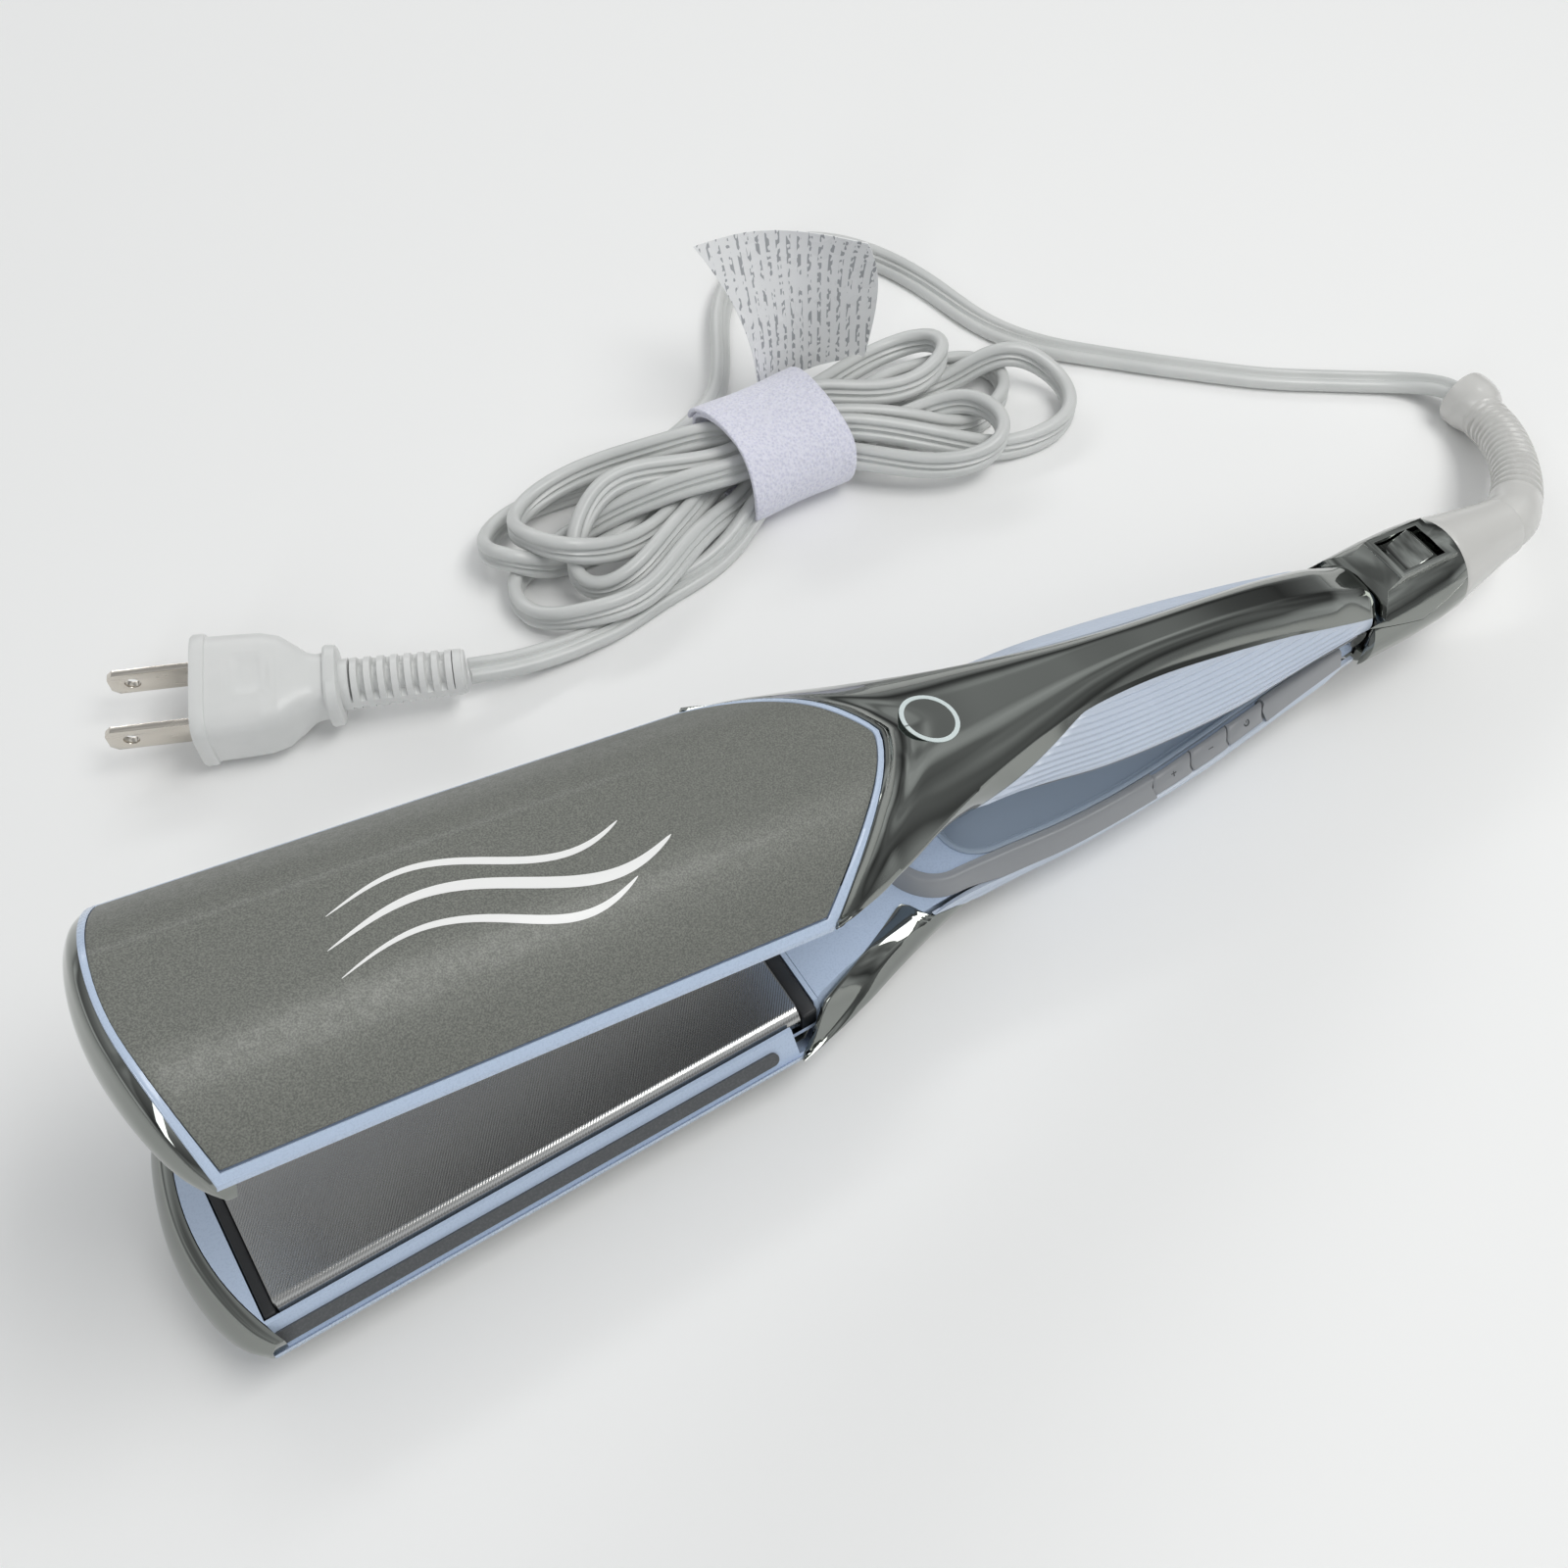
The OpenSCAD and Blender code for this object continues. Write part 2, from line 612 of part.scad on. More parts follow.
slider_l = slot_x1 - slot_x0 - slider_travel - 2 * play;
module lock_slider() {
    difference() {
        translate([slot_x1 - play - slider_l, 0, 0]) {
            translate([0, -slot_half_w + play, 8.2 + play])
                cube([slider_l, 2 * (slot_half_w - play), 3.2]);
            translate([2, -1.6, ball_r + play + 0.2]) cube([3, 3.2, 2]);
        }
        translate([slot_x1 - play - slider_l / 2, 20, 17.6]) rotate([90, 0, 0]) cylinder(r = 7.4, h = 40);
    }
}

// ---------- swivel neck and boot ----------

neck_gap = 0.3;
module swivel_neck() {
    difference() {
        union() {
            rotate([0, 90, 0]) rotate_extrude() polygon([[0, neck_end_x], [6.2, neck_end_x],
                [6.7, -42], [7.8, -36], [9, -30], [9.8, cap_x0 - neck_gap], [0, cap_x0 - neck_gap]]);
            intersection() {
                translate([ball_x, 0, 0]) sphere(r = ball_r);
                translate([-26, -10, -10]) cube([11, 20, 20]);
            }
            translate([cap_x0 - 1, 0, 0]) rotate([0, 90, 0]) cylinder(r = 6.2, h = 5);
        }
        translate([-60, 0, 0]) rotate([0, 90, 0]) cylinder(r = 4.2, h = 60);
    }
}

// Routes are in the hinge's frame; the table is at z = -crown_z.
table_z = -crown_z;
lie_z = table_z + cord_t / 2 + 0.1;
BOOT_ROUTE = [[-40, 0, 0, 3.8], [-46.2, 0, 0, 3.8], [-46.4, 0, 0, 6], [-52, -2, -0.4, 5.6],
    [-60, -8, -2, 5], [-68, -16, -5, 4.8], [-74, -24, -8, 4.8], [-77, -31, -10, 5],
    [-78.6, -35, -10.8, 6.1], [-79, -41, -11.2, 5.6]];
LEAD_ROUTE = [[-79, -41, -11.2], [-78, -46, -12.6], [-73, -52, -14.6], [-62, -60, lie_z], [-48, -70, lie_z],
    [-34, -82, lie_z], [-20, -95, lie_z], [-8, -107, lie_z], [-1, -120, lie_z], [1, -134, lie_z],
    [5, -148, lie_z], [13, -161, lie_z], [25, -168, lie_z], [39, -165, lie_z], [50, -154, lie_z],
    [59, -138, lie_z], [65, -128, -14.6], [75, -122, -13.4], [86, -117, -12.6], [96, -113, -12.4]];
TAIL_ROUTE = [[100, -87.6, -13], [108, -84, lie_z], [118, -82, lie_z], [130, -82, -15], [140, -83, -13],
    [148.4, -84.4, -11.6]];

function unit(v) = v / norm(v);
function place(p) = [p[0], p[1], p[2]];
function heading(route, i) =
    unit(place(route[min(i + 1, len(route) - 1)]) - place(route[max(i - 1, 0)]));
function side_of(h) = unit([h[1], -h[0], 0]);
function tube_ring(p, h, a, b, n) =
    let (s = side_of(h), u = cross(s, h))
    [for (j = [0 : n - 1]) let (t = 360 * j / n) p + s * a * cos(t) + u * b * sin(t)];
function between(route, k) =
    [for (i = [0 : len(route) - 2], j = [0 : k - 1]) let (t = j / k)
        [for (c = [0 : len(route[0]) - 1]) smooth(route[max(i - 1, 0)][c], route[i][c], route[i + 1][c],
            route[min(i + 2, len(route) - 1)][c], t)]];
module cord_tube(route) {
    fine = concat(between(route, 2), [route[len(route) - 1]]);
    loft([for (i = [0 : len(fine) - 1])
        tube_ring(fine[i], heading(fine, i), cord_w / 2, cord_t / 2, 8)]);
}
module cord_boot() {
    loft([for (i = [0 : len(BOOT_ROUTE) - 1])
        tube_ring(place(BOOT_ROUTE[i]), i < 3 ? [-1, 0, 0] : heading(BOOT_ROUTE, i),
            BOOT_ROUTE[i][3], BOOT_ROUTE[i][3], 12)]);
}
module cord_lead() {
    difference() {
        cord_tube(LEAD_ROUTE);
        cord_boot();
        bundle_envelope();
    }
}
module cord_tail() {
    difference() {
        cord_tube(TAIL_ROUTE);
        bundle_envelope();
        plug_place() relief_cone();
    }
}

// ---------- bundle, strap and tag ----------

bundle_y = -104;
strap_x = 66;
strap_half_y = 14;
strap_half_z = 9.6;
lobe_h = 12;
module blob(x, y, r) { translate([x, y]) circle(r = r); }
module bundle_plan() {
    hull() {
        blob(118, -101, 16);
        blob(84, -104, 12);
    }
    hull() {
        blob(50, -105, 12);
        blob(10, -94, 16);
    }
    translate([40, bundle_y - 11]) square([50, 22]);
}
function oval(a, b, n, power) = [for (i = [0 : n - 1]) let (t = 360 * i / n)
    [a * sign(cos(t)) * pow(abs(cos(t)), power), b * sign(sin(t)) * pow(abs(sin(t)), power)]];
module strap_oval(inset, l) {
    translate([strap_x - l / 2, bundle_y, table_z + strap_half_z]) rotate([90, 0, 90])
        linear_extrude(l) polygon(oval(strap_half_y - inset, strap_half_z - inset, 36, 0.75));
}
strap_t = 1.4;
module bundle_strap() {
    difference() {
        strap_oval(0, strap_w);
        strap_oval(strap_t, strap_w + 10);
    }
}
module cord_bundle() {
    difference() {
        translate([0, 0, table_z]) linear_extrude(lobe_h) bundle_plan();
        translate([strap_x - strap_w / 2 - 0.2, -150, table_z - 1]) cube([strap_w + 0.4, 100, 40]);
    }
    strap_oval(strap_t + seam, strap_w + 8);
}
module bundle_envelope() {
    cord_bundle();
    strap_oval(0, strap_w);
}

// The tag rises behind the strap and curls away at its top.
tag_t = 0.4;
tag_steps = 10;
tag_w = 27;
function tag_point(u, v, off) =
    let (base = [58 - tag_w * u, -119.4 + 3 * u, table_z + 12], rise = 34 * v,
        lean = 10 * v * v * (1 - 1.2 * u))
    base + [6 * v * v, -lean - off, rise * (1 - 0.12 * v)];
module strap_tag() {
    loft([for (i = [0 : tag_steps]) let (v = i / tag_steps)
        concat([for (j = [0 : tag_steps]) tag_point(j / tag_steps, v, tag_t)],
            [for (j = [tag_steps : -1 : 0]) tag_point(j / tag_steps, v, 0)])], skin = true);
}

// ---------- plug, in its own frame: blades point along +X from the face at x = 0 ----------

plug_half_y = 12;
plug_half_z = 8.2;
plug_pos = [198.4, -102.4, table_z + 9.4];
plug_turn = -23;
plug_roll = 6;
blade_pitch = 12.7;
blade_l = 17;
module plug_place() {
    translate(plug_pos) rotate([0, 0, plug_turn]) rotate([-plug_roll, 0, 0]) children();
}
// Stations of the plug's body: x, half width, half height.
PLUG_STATIONS = [[-27, 7.4, 6.6], [-24.6, 7.4, 6.6], [-24.4, 5.8, 5.4], [-22, 6, 5.6], [-18, 8.6, 6.6],
    [-12, 11, 7.6], [-2.6, 11.4, 7.8], [-2.5, plug_half_y, plug_half_z], [0, plug_half_y, plug_half_z]];
function plug_section(x, a, b) = [for (p = oval(a, b, 24, 0.45)) [x, p[0], p[1]]];
module plug_body() {
    difference() {
        loft(backwards([for (p = PLUG_STATIONS) plug_section(p[0], p[1], p[2])]));
        for (s = [-1, 1]) translate([-4, s * blade_pitch / 2 - 0.85, -3.3]) cube([5, 1.7, 6.6]);
        translate([-11, 2, 16.6]) sphere(r = 10);
    }
}
module plug_blades() {
    for (s = [-1, 1]) translate([0, s * blade_pitch / 2, 0]) difference() {
        translate([-3.8, -0.75, -3.15]) cube([blade_l + 3.8, 1.5, 6.3]);
        translate([blade_l - 4.5, -2, 0]) rotate([-90, 0, 0]) cylinder(r = 1.5, h = 4);
        for (m = [-1, 1]) translate([blade_l, 0, m * 3.6]) rotate([0, 45, 0]) cube([2, 4, 2], center = true);
    }
}
relief_x0 = -51;
relief_slots = 8;
module relief_cone() {
    rotate([0, 90, 0]) translate([0, 0, relief_x0]) cylinder(r1 = 4.4, r2 = 5, h = -27.1 - relief_x0);
}
module plug_relief() {
    difference() {
        relief_cone();
        for (i = [0 : relief_slots - 1]) translate([relief_x0 + 3 + i * 2.6, 0, 0])
            for (s = [-1, 1]) translate([0, s * 5 - 1.4, -3.4]) cube([1.2, 2.8, 6.8]);
    }
}

// ---------- nodes ----------

chrome = "SlateGray";
pale_blue = "LightSteelBlue";
white = "WhiteSmoke";

lower_arm() color("DimGray") panel();  // lower_panel
lower_arm() color(pale_blue) head_frame();  // lower_head_frame
lower_arm() color(pale_blue) lower_handle_frame();
lower_arm() color(chrome) nose_cap();  // lower_nose_cap
lower_arm() color(chrome) cover();  // lower_cover
lower_arm() color(white) grips();  // lower_grips
lower_arm() color("DarkGray") trim_band(true);  // lower_trim_band
lower_arm() color("SteelBlue") inner_floor();  // lower_inner_floor
lower_arm() color("DimGray") side_strips();  // lower_side_strips
lower_arm() color("Silver") plate();  // lower_plate
lower_arm() color("Black") plate_ends();  // lower_plate_ends
lower_arm() color("White") heater();  // lower_heater
lower_arm() color("Gold") heat_sensor();  // lower_heat_sensor
lower_arm() color("Orange") cushions();  // lower_cushions
lower_arm() color("Silver") screws();  // lower_screws
lower_arm() color("Green") circuit_board();
lower_arm() color("Black") button_switches();
lower_arm() color("DarkGray") button(2);  // plus_button
lower_arm() color("DarkGray") button(1);  // minus_button
lower_arm() color("DarkGray") button(0);  // power_button
lower_arm() color("Silver") hinge_bracket();
color("Silver") hinge_pin();
in_row() color("Gray") hinge_spring();
in_row() color(chrome) hinge_cap();
in_row() color(chrome) hinge_cap_base();
in_row() color("DimGray") lock_slider();
in_row() color(white) swivel_neck();
in_row() color(white) cord_boot();
in_row() color(white) cord_lead();
in_row() color(white) cord_bundle();
in_row() color(white) cord_tail();
in_row() color("Lavender") bundle_strap();
in_row() color(white) strap_tag();
in_row() plug_place() color(white) plug_relief();
in_row() plug_place() color(white) plug_body();
in_row() plug_place() color("Silver") plug_blades();
upper_arm() color("DimGray") panel();  // upper_panel
upper_arm() color(pale_blue) head_frame();  // upper_head_frame
upper_arm() color(pale_blue) handle_frame() knuckle_room();  // upper_handle_frame
upper_arm() color(chrome) nose_cap();  // upper_nose_cap
upper_arm() color(chrome) cover();  // upper_cover
upper_arm() color("LightCyan") ring();  // cover_ring
upper_arm() color(white) grips();  // upper_grips
upper_arm() color("DarkGray") trim_band(false);  // upper_trim_band
upper_arm() color("SteelBlue") inner_floor();  // upper_inner_floor
upper_arm() color("DimGray") side_strips();  // upper_side_strips
upper_arm() color("Silver") plate();  // upper_plate
upper_arm() color("Black") plate_ends();  // upper_plate_ends
upper_arm() color("White") heater();  // upper_heater
upper_arm() color("Gold") heat_sensor();  // upper_heat_sensor
upper_arm() color("Orange") cushions();  // upper_cushions
upper_arm() color("Silver") screws();  // upper_screws
upper_arm() color("Silver") hinge_knuckle();
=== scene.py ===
"""Looks of a wide-plate flat iron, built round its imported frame.

Shapes are written in millimetres: those of an arm in the arm's own frame (x to the nose, z outwards from
the plane where the plates meet), the plug's in its own, the others in the hinge's. ARMS, from_plug and
from_hinge place them.
"""
import math
from functools import partial

import bmesh
import bpy
import numpy as np
from mathutils import Matrix, Vector


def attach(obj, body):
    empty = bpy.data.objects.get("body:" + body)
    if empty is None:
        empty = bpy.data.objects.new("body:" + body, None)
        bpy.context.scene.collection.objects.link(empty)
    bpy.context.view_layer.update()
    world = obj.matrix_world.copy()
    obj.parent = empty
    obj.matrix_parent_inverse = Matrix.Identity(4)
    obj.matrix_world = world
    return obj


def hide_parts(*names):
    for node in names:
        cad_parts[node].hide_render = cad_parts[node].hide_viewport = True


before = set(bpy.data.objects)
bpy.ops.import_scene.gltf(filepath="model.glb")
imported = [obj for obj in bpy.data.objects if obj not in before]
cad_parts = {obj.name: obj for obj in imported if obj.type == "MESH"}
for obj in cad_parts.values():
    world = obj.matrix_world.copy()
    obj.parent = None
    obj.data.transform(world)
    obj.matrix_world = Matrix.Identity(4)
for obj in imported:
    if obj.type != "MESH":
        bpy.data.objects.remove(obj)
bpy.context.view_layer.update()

MM = 0.001
CROWN_Z = 17.0                      # crown of an arm above the closing plane, so also the table's depth
MID_X = 98.5                        # hinge axis to the middle of the iron
OPEN_ANGLE = math.radians(12.2)
TABLE_Z = -CROWN_Z

# ---------- places


def from_hinge(points):
    """Points in the hinge's frame, in mm, to the row frame in metres."""
    return (np.asarray(points, float) + [-MID_X, 0, CROWN_Z]) * MM


def from_lower(points):
    return from_hinge(np.asarray(points, float) * [1, 1, -1])


def from_upper(points):
    p = np.asarray(points, float)
    c, s = math.cos(OPEN_ANGLE), math.sin(OPEN_ANGLE)
    turned = np.stack([p[..., 0] * c - p[..., 2] * s, p[..., 1], p[..., 0] * s + p[..., 2] * c], -1)
    return from_hinge(turned)


ARMS = {"lower": (from_lower, "root"), "upper": (from_upper, "upper_arm")}
HANDS = ((1, "left"), (-1, "right"))


def ramp(x, x0, x1):
    return np.clip((np.asarray(x, float) - x0) / (x1 - x0), 0, 1)


def ease(t):
    return t * t * (3 - 2 * t)


def mix(a, b, t):
    return a + (b - a) * t


# ---------- camera, floor, light


CAMERA_PLACE, CAMERA_TARGET = (0.1166, 0.1261, 0.2802), (0.01745, -0.02096, 0.01996)
CAMERA_LENS, CAMERA_ROLL = 39.8, math.radians(2.2)
FLOOR_SIZE = 40                     # metres, so that its far edge is lost
# Height of a direction (0 level, 1 straight up), and the tone of the room there.
ROOM_TONES = [(0.0, 0.62), (0.09, 0.5), (0.2, 0.13), (0.38, 0.26), (0.6, 0.66), (0.78, 0.5), (1.0, 0.66)]


def look_at(obj, target, roll=0.0):
    direction = Vector(target) - obj.location
    turn = direction.to_track_quat("-Z", "Y").to_matrix().to_4x4()
    obj.matrix_world = Matrix.Translation(obj.location) @ turn @ Matrix.Rotation(roll, 4, "Z")


def add_camera():
    camera = bpy.data.objects.new("camera", bpy.data.cameras.new("camera"))
    bpy.context.scene.collection.objects.link(camera)
    camera.location = CAMERA_PLACE
    camera.data.lens = CAMERA_LENS
    camera.data.clip_start = 0.01
    look_at(camera, CAMERA_TARGET, CAMERA_ROLL)
    bpy.context.scene.camera = camera


def add_light(name, place, target, size, power, tint=(1, 1, 1)):
    data = bpy.data.lights.new(name, "AREA")
    data.shape = "RECTANGLE"
    data.size, data.size_y = size
    data.energy = power
    data.color = tint
    light = bpy.data.objects.new(name, data)
    bpy.context.scene.collection.objects.link(light)
    light.location = place
    look_at(light, target)


def add_node(tree, kind, values, sources):
    """A new node in a tree, with its constants and the outputs that feed it."""
    node = tree.nodes.new(f"ShaderNode{kind}")
    for socket, value in values.items():
        node.inputs[socket].default_value = value
    for socket, source in sources.items():
        tree.links.new(source, node.inputs[socket])
    return node


def add_room():
    """Soft surroundings with a dark band above the horizon, which the chrome mirrors."""
    world = bpy.data.worlds.new("studio")
    world.use_nodes = True
    tree = world.node_tree
    coords = add_node(tree, "TexCoord", {}, {}).outputs["Generated"]
    height = add_node(tree, "SeparateXYZ", {}, {"Vector": coords}).outputs["Z"]
    tones = add_node(tree, "ValToRGB", {}, {"Fac": height})
    patches = add_node(tree, "TexNoise", {"Scale": 1.7, "Detail": 2.0}, {"Vector": coords})
    contrast = add_node(tree, "MapRange", {"From Min": 0.38, "From Max": 0.62, "To Min": 0.45, "To Max": 1.5},
                        {"Value": patches.outputs["Fac"]})
    background = tree.nodes["Background"]
    tree.links.new(tones.outputs["Color"], background.inputs["Color"])
    tree.links.new(contrast.outputs["Result"], background.inputs["Strength"])
    stops = tones.color_ramp.elements
    for place, tone in ROOM_TONES:
        stop = stops[0] if place == 0 else stops[-1] if place == 1 else stops.new(place)
        stop.color = (tone * 0.97, tone * 0.99, tone, 1)
    bpy.context.scene.world = world
    bpy.context.scene.view_settings.view_transform = "Standard"


def add_floor():
    bpy.ops.mesh.primitive_plane_add(size=FLOOR_SIZE, location=(0, 0, 0))
    floor = bpy.context.object
    floor.name = "floor"
    paint = bpy.data.materials.new("floor")
    paint.use_nodes = True
    shader = paint.node_tree.nodes["Principled BSDF"]
    shader.inputs["Base Color"].default_value = (0.93, 0.93, 0.925, 1)
    shader.inputs["Roughness"].default_value = 0.75
    floor.data.materials.append(paint)


def add_lights():
    add_light("key", (-0.35, 0.25, 0.95), (0.02, -0.02, 0), (0.62, 0.42), 4.6, (1, 0.995, 0.98))
    add_light("fill", (0.75, 0.55, 0.55), (0.05, 0, 0.02), (0.16, 0.6), 1.3, (0.97, 0.985, 1))
    add_light("back", (-0.1, -0.9, 0.6), (0.02, -0.02, 0.02), (0.9, 0.12), 1.5)


# ---------- materials


class Paint:
    """One procedural material: a Principled shader and the textures that feed it."""

    def __init__(self, name, color, rough, metal=0.0, coat=0.0, sheen=0.0, alpha=1.0):
        self.material = bpy.data.materials.new(name)
        self.material.use_nodes = True
        self.tree = self.material.node_tree
        self.shader = self.tree.nodes["Principled BSDF"]
        self.color = color
        self.rough = rough
        self.normal = None
        self.coords = add_node(self.tree, "TexCoord", {}, {}).outputs["Object"]
        for socket, value in (("Base Color", (*color, 1)), ("Roughness", rough), ("Metallic", metal),
                              ("Coat Weight", coat), ("Coat Roughness", 0.08), ("Sheen Weight", sheen),
                              ("IOR", 1.5), ("Alpha", alpha)):
            self.shader.inputs[socket].default_value = value

    def texture(self, kind, values, stretch=(1, 1, 1), turn=(0, 0, 0)):
        change = {"Scale": stretch, "Rotation": turn}
        mapped = add_node(self.tree, "Mapping", change, {"Vector": self.coords}).outputs["Vector"]
        return add_node(self.tree, kind, values, {"Vector": mapped})

    def noise(self, scale, detail, stretch=(1, 1, 1)):
        return self.texture("TexNoise", {"Scale": scale, "Detail": detail}, stretch).outputs["Fac"]

    def cells(self, scale, stretch=(1, 1, 1)):
        return self.texture("TexVoronoi", {"Scale": scale}, stretch).outputs["Distance"]

    def waves(self, scale, turn=(0, 0, 0), distortion=0.0):
        return self.texture("TexWave", {"Scale": scale, "Distortion": distortion}, turn=turn).outputs["Fac"]

    def levels(self, source, low, high, out_low, out_high):
        limits = {"From Min": low, "From Max": high, "To Min": out_low, "To Max": out_high}
        return add_node(self.tree, "MapRange", limits, {"Value": source}).outputs["Result"]

    def vary_color(self, source, low, high, other):
        """Blends the base colour towards another where the source runs from low to high."""
        node = self.tree.nodes.new("ShaderNodeMix")
        node.data_type = "RGBA"
        node.inputs["A"].default_value = (*self.color, 1)
        node.inputs["B"].default_value = (*other, 1)
        self.tree.links.new(self.levels(source, low, high, 0, 1), node.inputs["Factor"])
        self.tree.links.new(node.outputs["Result"], self.shader.inputs["Base Color"])
        return self

    def vary_rough(self, source, spread):
        result = self.levels(source, 0.3, 0.7, self.rough - spread, self.rough + spread)
        self.tree.links.new(result, self.shader.inputs["Roughness"])
        return self

    def bump(self, source, distance, strength):
        """Relief from a source, on top of the relief that is there already."""
        before = {} if self.normal is None else {"Normal": self.normal}
        node = add_node(self.tree, "Bump", {"Strength": strength, "Distance": distance},
                        {"Height": source, **before})
        self.normal = node.outputs["Normal"]
        self.tree.links.new(self.normal, self.shader.inputs["Normal"])
        return self

    def blotches(self, scale, detail, low, high, other):
        return self.vary_color(self.noise(scale, detail), low, high, other)

    def uneven(self, scale, detail, spread):
        return self.vary_rough(self.noise(scale, detail), spread)

    def grain(self, scale, detail, distance, strength):
        return self.bump(self.noise(scale, detail), distance, strength)


def panel_paint():
    """Warm grey lacquer with metal flake."""
    p = Paint("panel_lacquer", (0.215, 0.222, 0.198), 0.5, metal=0.1, coat=0.08)
    p.blotches(3900, 2, 0.36, 0.62, (0.128, 0.133, 0.12))
    return p.uneven(700, 2, 0.07).grain(4200, 1, 0.00003, 0.5)


def blue_paint():
    p = Paint("pale_blue_plastic", (0.50, 0.60, 0.76), 0.28, coat=0.25)
    return p.uneven(3000, 1, 0.02).grain(3500, 1, 0.00001, 0.2)


def chrome_paint():
    """Smoky vacuum-plated plastic, a little wavy."""
    p = Paint("smoky_chrome", (0.275, 0.288, 0.272), 0.06, metal=1.0)
    return p.uneven(300, 2, 0.015).grain(28, 1, 0.00018, 0.35)


def grip_paint():
    p = Paint("ribbed_grip", (0.57, 0.63, 0.73), 0.3, coat=0.15)
    return p.blotches(35, 2, 0.35, 0.75, (0.53, 0.59, 0.69)).grain(1200, 2, 0.00002, 0.4)


def band_paint():
    p = Paint("trim_grey", (0.30, 0.31, 0.325), 0.34)
    return p.uneven(160, 3, 0.06).grain(1400, 2, 0.00002, 0.5)


def floor_blue_paint():
    p = Paint("recess_blue", (0.36, 0.43, 0.52), 0.34)
    return p.uneven(120, 3, 0.05).grain(900, 2, 0.00002, 0.4)


def strip_paint():
    p = Paint("strip_grey", (0.085, 0.09, 0.095), 0.5)
    return p.blotches(2600, 2, 0.45, 0.8, (0.12, 0.125, 0.13)).grain(2600, 2, 0.00002, 0.5)


def plate_paint():
    """Fine diagonal hatching under a ceramic coat."""
    p = Paint("plate_coat", (0.46, 0.46, 0.455), 0.23, metal=1.0)
    hatch = p.waves(760, (0, 0, math.radians(38)), 0.3)
    p.vary_color(hatch, 0.2, 0.9, (0.53, 0.53, 0.525))
    return p.bump(hatch, 0.00002, 0.5)


def black_paint():
    p = Paint("black_plastic", (0.018, 0.019, 0.021), 0.42)
    return p.uneven(300, 2, 0.08).grain(900, 2, 0.00003, 0.5)


def neck_paint():
    p = Paint("neck_white", (0.63, 0.625, 0.605), 0.26, coat=0.2)
    return p.blotches(30, 3, 0.4, 0.8, (0.59, 0.585, 0.565)).grain(700, 2, 0.00002, 0.3)


def cord_paint():
    p = Paint("cord_vinyl", (0.65, 0.66, 0.65), 0.3)
    return p.blotches(45, 3, 0.4, 0.75, (0.58, 0.595, 0.585)).grain(1300, 2, 0.00003, 0.5)


def plug_paint():
    p = Paint("plug_vinyl", (0.74, 0.745, 0.735), 0.36)
    return p.blotches(70, 3, 0.4, 0.75, (0.69, 0.70, 0.69)).grain(900, 2, 0.00003, 0.5)


def strap_paint():
    """Brushed loop side of hook-and-loop tape."""
    p = Paint("strap_fabric", (0.69, 0.69, 0.84), 0.8, sheen=0.5)
    p.vary_color(p.cells(1500), 0.1, 0.6, (0.84, 0.84, 0.95))
    p.bump(p.cells(1300, (1, 1, 0.6)), 0.0003, 0.9)
    return p.grain(5200, 3, 0.0002, 0.6)


def tag_paint():
    """Milky film with rows of short grey dashes."""
    p = Paint("tag_film", (0.90, 0.905, 0.91), 0.30, alpha=0.97)
    rows = p.levels(p.waves(150), 0.62, 0.72, 0, 1)
    dashes = p.levels(p.noise(1500, 0, (1, 1, 0.5)), 0.5, 0.54, 0, 1)
    marks = add_node(p.tree, "Math", {}, {0: rows, 1: dashes})
    marks.operation = "MULTIPLY"
    p.vary_color(marks.outputs[0], 0, 1, (0.42, 0.43, 0.45))
    return p.uneven(120, 2, 0.08).grain(60, 2, 0.0001, 0.3)


def blade_paint():
    p = Paint("blade_nickel", (0.66, 0.62, 0.56), 0.22, metal=1.0)
    p.vary_rough(p.noise(400, 3, (0.1, 1, 1)), 0.1)
    return p.bump(p.noise(900, 2, (0.1, 1, 1)), 0.00004, 0.5)


def steel_paint():
    p = Paint("steel", (0.52, 0.52, 0.53), 0.32, metal=1.0)
    return p.uneven(500, 3, 0.1).grain(900, 2, 0.00003, 0.4)


def plain_paint(name, color, rough, metal=0.0):
    p = Paint(name, color, rough, metal)
    return p.uneven(300, 3, 0.06).grain(1000, 2, 0.00003, 0.4)


PAINTS = {
    "panel": panel_paint(), "blue": blue_paint(), "chrome": chrome_paint(), "grip": grip_paint(),
    "band": band_paint(), "recess": floor_blue_paint(), "strip": strip_paint(), "plate": plate_paint(),
    "black": black_paint(), "neck": neck_paint(), "cord": cord_paint(), "plug": plug_paint(),
    "strap": strap_paint(), "tag": tag_paint(), "blade": blade_paint(), "steel": steel_paint(),
    "ceramic": plain_paint("ceramic", (0.8, 0.79, 0.75), 0.5),
    "brass": plain_paint("brass", (0.6, 0.44, 0.2), 0.35, 1.0),
    "silicone": plain_paint("silicone", (0.62, 0.25, 0.13), 0.6),
    "board": plain_paint("board", (0.03, 0.2, 0.07), 0.45),
    "motif": plain_paint("motif_ink", (0.90, 0.90, 0.89), 0.4),
    "ring": plain_paint("ring_ink", (0.66, 0.74, 0.74), 0.3),
}

# ---------- mesh making


def smooth_shade(obj, angle=35.0):
    for polygon in obj.data.polygons:
        polygon.use_smooth = True
    obj.data.set_sharp_from_angle(angle=math.radians(angle))


def bevel(obj, width, segments):
    """Rounds the sharp edges of a mesh; the width is in metres."""
    modifier = obj.modifiers.new("round", "BEVEL")
    modifier.width = width
    modifier.segments = segments
    modifier.limit_method = "ANGLE"
    modifier.angle_limit = math.radians(40)
    graph = bpy.context.evaluated_depsgraph_get()
    mesh = bpy.data.meshes.new_from_object(obj.evaluated_get(graph))
    obj.modifiers.clear()
    obj.data = mesh


